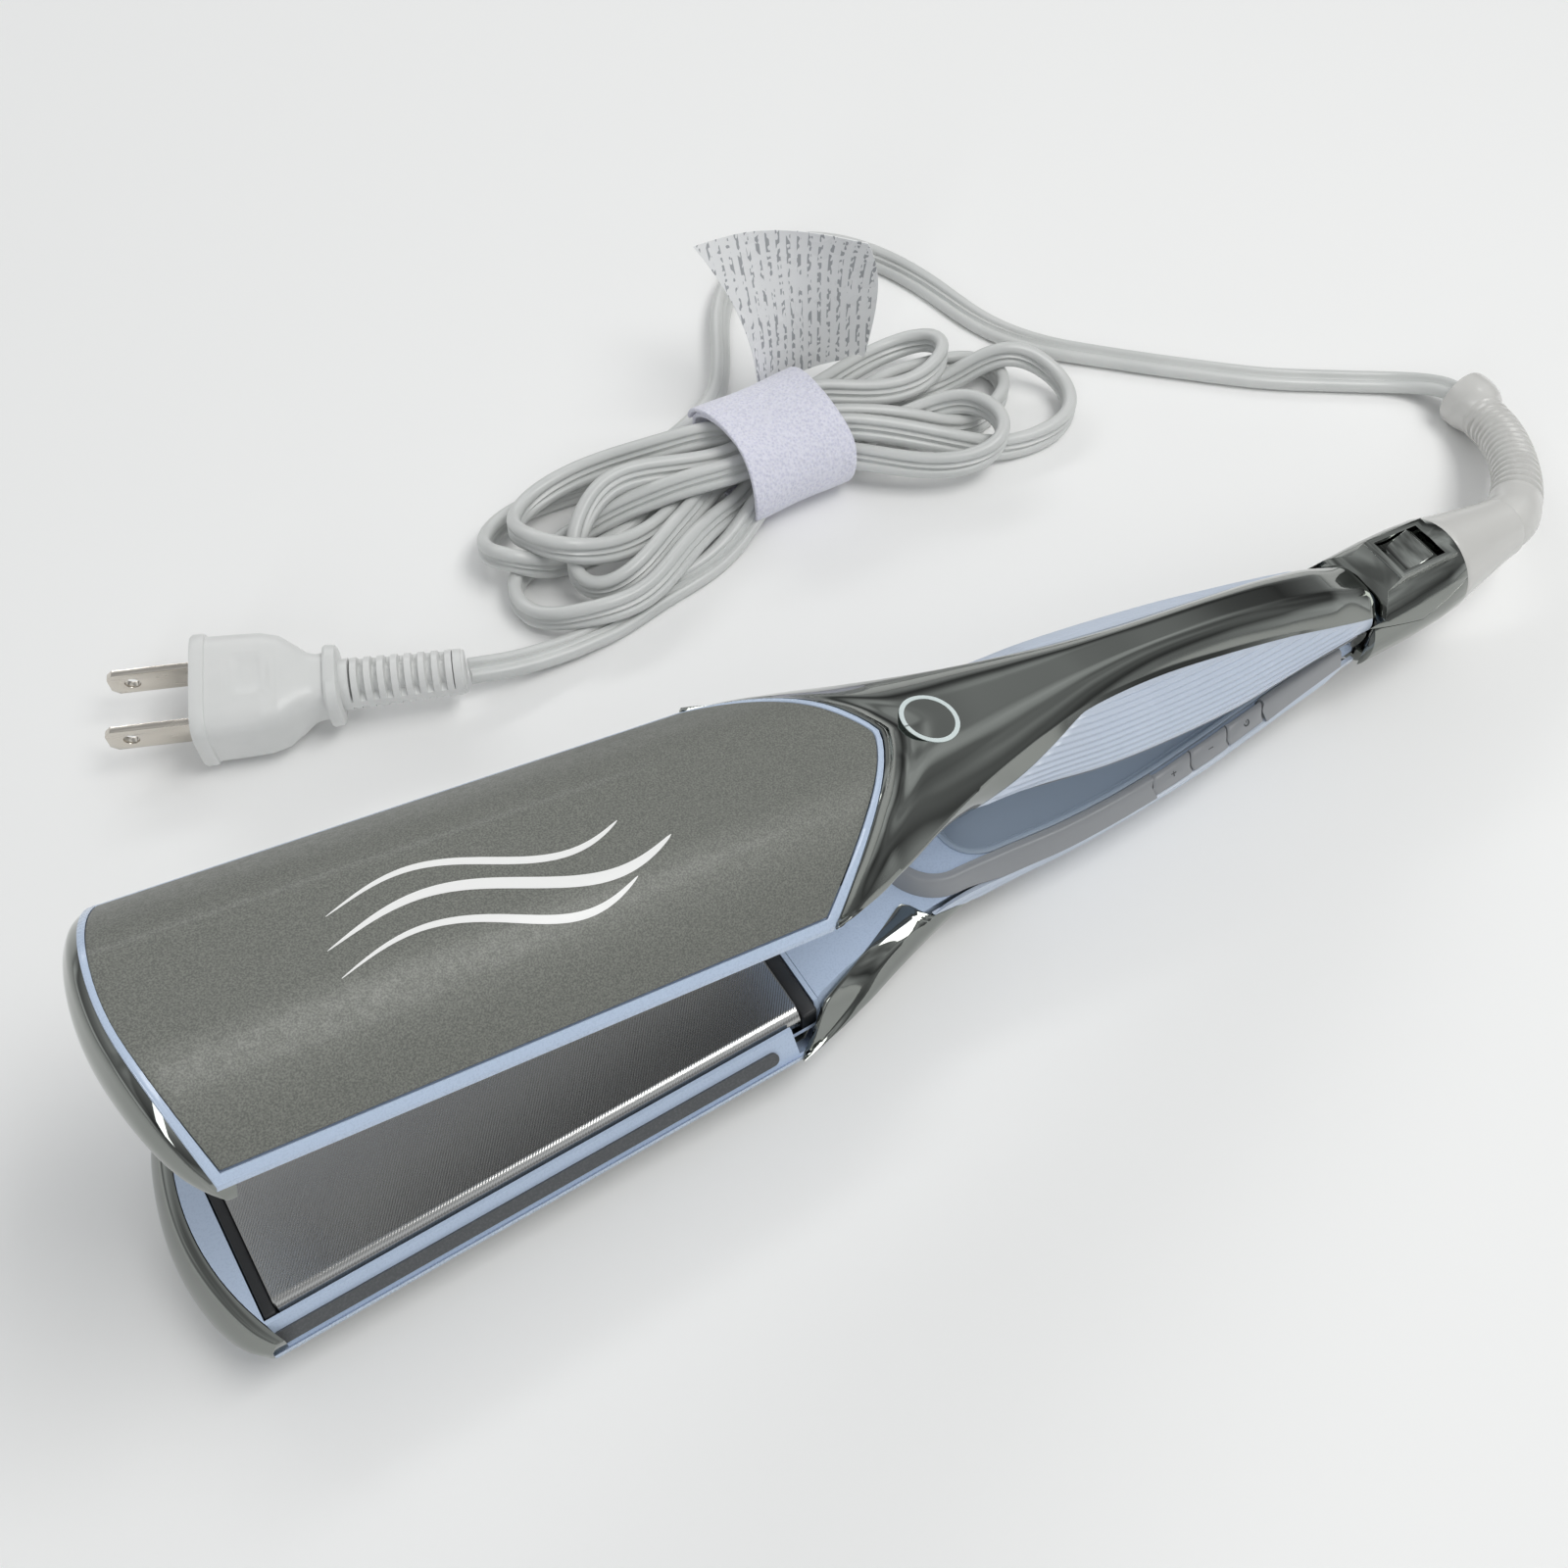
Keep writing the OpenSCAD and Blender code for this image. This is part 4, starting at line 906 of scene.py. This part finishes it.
def add_boot():
    """Curved strain relief with rings round its middle, which flares at its end."""
    line = even(spline(BOOT, 12), 0.18)
    heading, side, up = line_frames(line[:, :3])
    length = np.sum(np.linalg.norm(np.diff(line[:, :3], axis=0), axis=1))
    distance = np.linspace(0, 1, len(line)) * length
    ringed = ease(ramp(distance, 9, 11)) * (1 - ease(ramp(distance, length - 12, length - 10)))
    wave = np.clip(1.6 * np.sin(2 * math.pi * distance / 2.35), -1, 0.35)
    radius = line[:, 3] + 0.48 * ringed * (wave - 0.1)
    radius *= np.sqrt(np.clip(1 - ramp(distance, length - 1.8, length + 0.4) ** 2, 0.1, 1))
    a = full_turn(40)
    rings = line[:, None, :3] + radius[:, None, None] * (
        side[:, None] * np.cos(a)[None, :, None] + up[:, None] * np.sin(a)[None, :, None])
    return add_piece("boot", from_hinge, tube_mesh(rings), "neck", "root", "cord_white", ["cord_boot"],
                     angle=50)


# ---------- the cord

CORD_HALF_W, CORD_HALF_T = 3.0, 1.5

# Each point of a stretch: x, y, height above the table, and the turn of the flat section in degrees
# (0 lies flat). Between them the cord goes back and forth through the strap.
LEAD = [(-79, -39.5, 5.9, 0), (-78.4, -44, 5.0, 0), (-76.5, -48.5, 3.4, 0), (-72, -53.5, 2.0, 0),
        (-62, -60.5, 1.6, 0), (-48, -70, 1.6, 0), (-34, -82, 1.6, 0), (-20, -95, 1.6, 0), (-8, -107, 1.7, 8),
        (-1, -120, 1.8, 20), (1, -134, 2.0, 30), (5, -148, 2.2, 40), (13, -161, 2.4, 48), (25, -168, 2.5, 52),
        (39, -165, 2.5, 55), (50, -154, 2.5, 55), (58, -140, 2.7, 60), (66, -129, 3.0, 70),
        (77, -123, 3.2, 80), (90, -119, 3.3, 88), (104, -118, 3.4, 90), (117, -121, 3.5, 90),
        (128, -120, 3.5, 90),
        (135.5, -113, 3.6, 90), (134, -104, 3.8, 90), (125, -100, 4.4, 92), (111, -102.5, 5.6, 98),
        (95, -108, 7.2, 110)]
TAIL = [(76, -93.4, 6.4, 50), (88, -90.5, 4.6, 38), (100, -87.0, 3.0, 24), (112, -83.6, 2.2, 12),
        (124, -82.4, 2.2, 0), (134, -82.6, 3.0, 0), (142, -83.2, 4.4, 0), (149.5, -84.9, 5.5, 0)]
STRAP_X, STRAP_Y, STRAP_RUN = 66.0, -104.0, 13     # the strap's middle, and half a straight run through it
# Each run through the strap: its offset from the strap's middle line, and its height.
LANES = [(-7.6, 8.4), (-4.0, 12.4), (-3.6, 5.2), (0.2, 12.2), (0.2, 5.0), (4.2, 12.0), (4.2, 5.2), (8.4, 8.6)]
# Each loop's tip x, y, height and half width, in the order in which the cord makes them.
LEFT_TIPS = [(130, -107, 7.4, 11), (122, -92, 5.6, 9), (134, -92, 3.3, 11)]
RIGHT_TIPS = [(13, -113, 4.2, 8), (4, -101, 3.4, 10), (-6, -88, 3.3, 12), (17, -82, 6.4, 9)]


def lean(heading):
    """Turn of a run that heads along x, so that its broad face looks up and to the iron."""
    return 90 - 35 * heading


def strap_run(lane, towards):
    """The straight stretch of a run through the strap, from one mouth to the other."""
    y, z = LANES[lane]
    return [(STRAP_X + towards * d, STRAP_Y + y, z, lean(towards)) for d in (-STRAP_RUN, 0, STRAP_RUN)]


def hank_loop(tip, lane_in, lane_out, way):
    """A run out of the strap on one lane, round a loop's tip, and back on another lane."""
    tx, ty, tz, half = tip
    (ya, za), (yb, zb) = LANES[lane_in], LANES[lane_out]
    tip_at = np.array([tx, ty])
    axis = tip_at - [STRAP_X + way * STRAP_RUN, STRAP_Y + (ya + yb) / 2]
    axis /= np.linalg.norm(axis)
    across = np.array([-axis[1], axis[0]])
    if (across[1] > 0) != (ya > yb):
        across = -across
    stretches = []
    for hand, z_lane in ((-1, za), (1, zb)):
        far = tip_at - axis * half * 2.6 - across * hand * half * 0.98
        near = tip_at - axis * half * 1.05 - across * hand * half
        shoulder = tip_at - axis * half * 0.3 - across * hand * half * 0.72
        turn = lean(way * -hand)
        stretches.append([(*far, mix(tz, z_lane, 0.45), mix(90, turn, 0.75)),
                          (*near, mix(tz, z_lane, 0.12), mix(90, turn, 0.4)), (*shoulder, tz, 90)])
    return stretches[0] + [(*tip_at, tz, 90)] + stretches[1][::-1]


def flat_frames(line):
    """Heading, and the ways in which the flat cord is wide and thin, at each point of its line."""
    heading, side, up = line_frames(line[:, :3])
    turn = np.radians(line[:, 3])[:, None]
    width = side * np.cos(turn) + up * np.sin(turn)
    return heading, width, np.cross(width, heading)


def settle(line, rounds=70):
    """Pushes stretches of the cord that cross or lie side by side apart, until they only touch."""
    index = np.arange(len(line))
    apart = np.abs(index[:, None] - index[None]) > 7
    hold = ramp(index, 30, 60) * (1 - ramp(index, len(line) - 30, len(line) - 12))
    in_strap = 1 - ramp(np.abs(line[:, 0] - STRAP_X), 10, 20)
    hold = hold * (1 - 0.85 * in_strap)
    spread = np.exp(-(np.arange(-7, 8) / 3.2) ** 2)
    spread /= spread.sum()
    tilt = np.radians(line[:, 3])
    lowest = TABLE_Z + np.hypot(CORD_HALF_W * np.sin(tilt), CORD_HALF_T * np.cos(tilt)) + 0.05
    for _ in range(rounds):
        p = line[:, :3]
        heading, width, flat = flat_frames(line)
        a, b = np.nonzero(apart & (np.linalg.norm(p[:, None] - p[None], axis=-1) < 6.4))
        gap = p[b] - p[a]
        cross = np.cross(heading[a], heading[b])
        cross *= np.where(cross[:, 2:] * (gap[:, 2:] + 1e-3 * np.sign(b - a)[:, None]) < 0, -1, 1)
        share = np.linalg.norm(cross, axis=1, keepdims=True)
        reach = np.linalg.norm(gap, axis=1, keepdims=True)
        way = gap / np.maximum(reach, 1e-6) * (1 - share) + cross
        way /= np.maximum(np.linalg.norm(way, axis=1, keepdims=True), 1e-6)
        have = np.sum(gap * way, 1)
        off = np.sqrt(np.maximum(reach[:, 0] ** 2 - have ** 2, 0))
        need = 0.1
        for end in (a, b):
            wide, thin = np.sum(width[end] * way, 1), np.sum(flat[end] * way, 1)
            need = need + np.hypot(CORD_HALF_W * wide, CORD_HALF_T * thin)
        short = np.clip(need - have, 0, 2) * (off < 2.6)
        move = np.zeros_like(p)
        count = np.zeros(len(p))
        np.add.at(move, a, -way * short[:, None])
        np.add.at(count, a, short > 0)
        move *= 0.5 / np.maximum(count, 1)[:, None]
        move = np.stack([np.convolve(move[:, k], spread, "same") for k in range(3)], -1) * 1.5
        p = p + np.clip(move, -0.5, 0.5) * hold[:, None]
        p[1:-1] += 0.09 * (p[:-2] + p[2:] - 2 * p[1:-1]) * hold[1:-1, None]
        p[:, 2] = np.maximum(p[:, 2], lowest)
        line = np.column_stack([p, line[:, 3]])
    return line


def cord_route():
    """The whole cord's centreline, from the boot to the plug's relief."""
    route = list(LEAD)
    for number, right_tip in enumerate(RIGHT_TIPS):
        lane = 2 * number
        route += strap_run(lane, -1) + hank_loop(right_tip, lane, lane + 1, -1) + strap_run(lane + 1, 1)
        if number < len(LEFT_TIPS):
            route += hank_loop(LEFT_TIPS[number], lane + 1, lane + 2, 1)
    route = np.array(route[:-1] + TAIL, float)
    route[:, 2] += TABLE_Z
    return even(spline(settle(even(spline(route, 8), 2.4)), 3), 1.2)


def cord_section():
    """Half a flat twin cord: two round cores with a ridge and grooves between them."""
    u = np.linspace(-1, 1, 17)
    body = np.sqrt(np.clip(1 - np.maximum(0, (np.abs(u) - 0.5) / 0.5) ** 2, 0, 1))
    groove = 0.55 * np.exp(-((np.abs(u) - 0.2) / 0.1) ** 2)
    top = np.stack([u * CORD_HALF_W, CORD_HALF_T * (body - groove * body)], -1)
    return np.concatenate([top, top[-2:0:-1] * [1, -1]])


def add_cord():
    line = cord_route()
    _, width, flat = flat_frames(line)
    section = cord_section()
    rings = line[:, None, :3] + width[:, None] * section[None, :, :1] + flat[:, None] * section[None, :, 1:]
    mesh = tube_mesh(rings)
    cord = add_piece("cord", from_hinge, mesh, "cord", "root", "cord_white",
                     ["cord_lead", "cord_bundle", "cord_tail"], angle=60)


# ---------- strap and tag

STRAP_HALF_Y, STRAP_HALF_Z, STRAP_W = 14.0, 9.6, 25.0


def strap_surface(grow, from_angle, to_angle, x0, x1, count):
    """Band round the hank, flat where it lies on the table and pinched at its middle."""
    t = np.radians(np.linspace(from_angle, to_angle, count))
    across = np.linspace(0, 1, 21)
    a, b = STRAP_HALF_Y + grow, STRAP_HALF_Z + grow
    c, s = np.cos(t), np.sin(t)
    y = a * np.sign(c) * np.abs(c) ** 0.88
    z = b * np.sign(s) * np.abs(s) ** 0.88
    z = np.maximum(z, -STRAP_HALF_Z)
    wave = 0.35 * np.sin(3 * t + 0.7)[:, None] * (across * 2 - 1)[None] + 0.25 * np.cos(2 * t)[:, None]
    x = mix(x0, x1, across)[None] + wave
    pinch = 1 - 0.035 * np.cos(math.pi * (across - 0.5)) ** 2
    yy = STRAP_Y + y[:, None] * pinch[None]
    zz = TABLE_Z + STRAP_HALF_Z + z[:, None] * np.where(z[:, None] > 0, pinch[None], 1)
    return np.stack([x, yy, zz], -1)


def add_strap():
    """Two layers of tape, the outer of which covers where the inner one's ends meet."""
    x0, x1 = STRAP_X - STRAP_W / 2, STRAP_X + STRAP_W / 2
    middle = (STRAP_X, STRAP_Y, TABLE_Z + STRAP_HALF_Z)
    layers = {"inner": (strap_surface(-0.15, -75, 284, x0, x1, 150), 1.1),
              "outer": (strap_surface(1.05, -38, 168, x0 + 0.8, x1 + 0.6, 100), 1.0)}
    for name, (surface, thickness) in layers.items():
        mesh = shell_mesh(surface, thickness, middle)
        add_piece(f"strap_{name}", from_hinge, mesh, "strap", "root", "strap", ["bundle_strap"],
                  rounding=0.0003, angle=50)


def add_tag():
    """Film that rises behind the strap, leans back and curls."""
    uu, vv = np.meshgrid(np.linspace(0, 1, 25), np.linspace(0, 1, 45))
    base_x, base_y, base_z = 60 - 27 * uu, -120.4 + 2.5 * uu, TABLE_Z + 5.5 + 3 * uu
    back = 12 * vv ** 2 * (1 - 1.1 * uu) + 3.4 * np.sin(math.pi * uu)
    x = base_x + 9 * vv ** 2.2 * (1 - 0.75 * uu) - 2.5 * uu * np.sin(math.pi * vv)
    y = base_y - back
    z = base_z + 42 * vv * (1 - 0.09 * vv) * (1 - 0.13 * uu * vv) + 1.5 * np.sin(math.pi * uu) * vv
    surface = np.stack([x, y, z], -1)
    mesh = shell_mesh(surface, 0.18, (50, -90, -5))
    tag = add_piece("tag", from_hinge, mesh, "tag", "root", "tag_film", ["strap_tag"], angle=60)


# ---------- plug

PLUG_POS, PLUG_TURN, PLUG_ROLL = (198.4, -102.4, TABLE_Z + 9.4), math.radians(-23), math.radians(6)
# x behind the plug's face, half width, half height, and power of the outline there
PLUG_BODY = [(-27.4, 6.6, 5.8, 0.6), (-27, 7.2, 6.4, 0.6), (-25.2, 7.4, 6.6, 0.6), (-24.7, 7.1, 6.3, 0.6),
             (-24.5, 6.0, 5.5, 0.6), (-23.2, 5.9, 5.4, 0.62), (-21.5, 6.4, 5.7, 0.6), (-19.4, 8.0, 6.4, 0.52),
             (-16.5, 10.2, 7.2, 0.48), (-13, 11.1, 7.6, 0.46), (-8, 11.3, 7.7, 0.45),
             (-3.3, 11.4, 7.8, 0.45), (-2.9, 11.5, 7.85, 0.45), (-2.7, 11.9, 8.1, 0.45),
             (-2.2, 12.1, 8.2, 0.45), (-0.5, 12.1, 8.2, 0.45), (0, 11.8, 7.95, 0.45)]
DIMPLE_X = -10.5


def from_plug(points):
    """Points in the plug's frame (x out of its face, y across the blades) to the row frame."""
    p = np.asarray(points, float)
    c, s = math.cos(-PLUG_ROLL), math.sin(-PLUG_ROLL)
    y, z = p[..., 1] * c - p[..., 2] * s, p[..., 1] * s + p[..., 2] * c
    c, s = math.cos(PLUG_TURN), math.sin(PLUG_TURN)
    x, y = p[..., 0] * c - y * s, p[..., 0] * s + y * c
    return from_hinge(np.stack([x, y, z], -1) + PLUG_POS)


def add_plug():
    """Plug body with a waist, a front collar and a round dimple on top for the thumb."""
    rings = np.array([[(x, y, z) for y, z in oval(a, b, 96, power)] for x, a, b, power in PLUG_BODY])
    top = [mix(rings[i], rings[i + 1], t) for i in (8, 9, 10) for t in np.arange(8) / 8]
    rings = np.concatenate([rings[:8], top, rings[11:]])
    reach = np.hypot(rings[..., 0] - DIMPLE_X, rings[..., 1])
    upper = rings[..., 2] > 4
    dimple = upper * 0.55 * (1 - ease(ramp(reach, 3.6, 4.3)))
    rim = upper * 0.12 * np.exp(-((reach - 4.7) / 0.3) ** 2)
    rings[..., 2] += rim - dimple
    return add_piece("plug_shell", from_plug, tube_mesh(rings), "plug", "root", "cord_white", ["plug_body"],
                     angle=38)


SLOT_PITCH = 2.6


def add_relief():
    """Tapered relief with rows of slots that leave a spine between them."""
    xx, aa = np.meshgrid(np.linspace(-51.4, -26.9, 200), full_turn(64), indexing="ij")
    radius = mix(4.5, 5.1, ramp(xx, -51, -27))
    phase = ((xx + 51.0) / SLOT_PITCH) % 1
    slot = ease(np.clip((0.26 - np.abs(phase - 0.5)) / 0.09, 0, 1)) * (xx > -49.2) * (xx < -29.2)
    sides = ease(np.clip((np.abs(np.sin(aa)) - 0.22) / 0.12, 0, 1))
    radius = radius - 1.5 * slot * sides
    radius *= np.where(xx < -50.9, 0.94, 1)
    mesh = tube_mesh(np.stack([xx, radius * np.cos(aa), radius * np.sin(aa)], -1))
    return add_piece("plug_relief_sleeve", from_plug, mesh, "plug", "root", "cord_white",
                     ["plug_relief"], angle=40)


BLADE_HALF_T, BLADE_HALF_W, BLADE_L, BLADE_PITCH = 0.75, 3.15, 17.0, 12.7
BLADE_HOLE_R = 1.5


def ring_pairs(ring):
    return zip(ring, ring[1:] + ring[:1])


def add_blades():
    """Two flat blades with cut corners and a hole near the tip."""
    w, tip = BLADE_HALF_W, BLADE_L
    outline = [(-3.5, -w), (tip - 1.3, -w), (tip, -w + 1.4), (tip, w - 1.4), (tip - 1.3, w), (-3.5, w)]
    hole = [(tip - 4.5 + BLADE_HOLE_R * math.cos(a), BLADE_HOLE_R * math.sin(a)) for a in full_turn(24)]
    work = bmesh.new()
    for centre in (-BLADE_PITCH / 2, BLADE_PITCH / 2):
        faces = [[[work.verts.new((x, y, z)) for x, z in ring] for ring in (outline, hole)]
                 for y in (centre - BLADE_HALF_T, centre + BLADE_HALF_T)]
        for near, far in zip(*faces):
            for (a, b), (c, d) in zip(ring_pairs(near), ring_pairs(far)):
                work.faces.new((a, b, d, c))
        for rings in faces:
            pairs = [pair for ring in rings for pair in ring_pairs(ring)]
            edges = [work.edges.get(pair) or work.edges.new(pair) for pair in pairs]
            bmesh.ops.triangle_fill(work, edges=edges, use_beauty=True)
    add_piece("plug_blades_bright", from_plug, taken_mesh(work), "blade", "root", "blade", ["plug_blades"],
              rounding=0.00012)


# ---------- CAD nodes that stay

KEPT = {
    "blue": ["lower_head_frame", "upper_head_frame", "lower_handle_frame", "upper_handle_frame"],
    "strip": ["lower_side_strips", "upper_side_strips"],
    "steel": ["lower_screws", "upper_screws", "hinge_pin", "hinge_spring"],
    "ceramic": ["lower_heater", "upper_heater"],
    "brass": ["lower_heat_sensor", "upper_heat_sensor"],
    "silicone": ["lower_cushions", "upper_cushions"],
    "board": ["circuit_board"],
    "black": ["button_switches", "hinge_bracket", "hinge_knuckle"],
}


def add_rounded_copy(name, body, width):
    """The same chrome solid with its edges rounded off."""
    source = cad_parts[name]
    work = bmesh.new()
    work.from_mesh(source.data)
    bmesh.ops.transform(work, matrix=source.matrix_world, verts=work.verts)
    bmesh.ops.remove_doubles(work, verts=work.verts, dist=1e-6)
    bmesh.ops.dissolve_limit(work, angle_limit=math.radians(1.5), verts=work.verts, edges=work.edges)
    add_piece(f"{name}_rounded", np.array, taken_mesh(work), "chrome", body, "chrome_cover", [name],
              rounding=width, segments=3)


def paint_kept():
    for paint, names in KEPT.items():
        for name in names:
            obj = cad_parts[name]
            obj.data.materials.clear()
            obj.data.materials.append(PAINTS[paint].material)
            smooth_shade(obj, 28)


# ---------- build

add_camera()
plug = add_plug()
relief = add_relief()
add_blades()
boot = add_boot()
add_cord()
add_room()
add_floor()
add_lights()
for arm in ARMS:
    for add in (add_panel, add_rim, add_nose_cap, add_plate, add_cover, add_screw_covers, add_grips, add_band,
                add_recess):
        add(arm)
for add in (add_motif, add_ring, add_buttons, add_neck, add_strap, add_tag, paint_kept):
    add()
add_rounded_copy("hinge_cap", "root", 0.00035)
add_rounded_copy("hinge_cap_base", "root", 0.0003)
add_rounded_copy("lock_slider", "lock_slider", 0.00025)
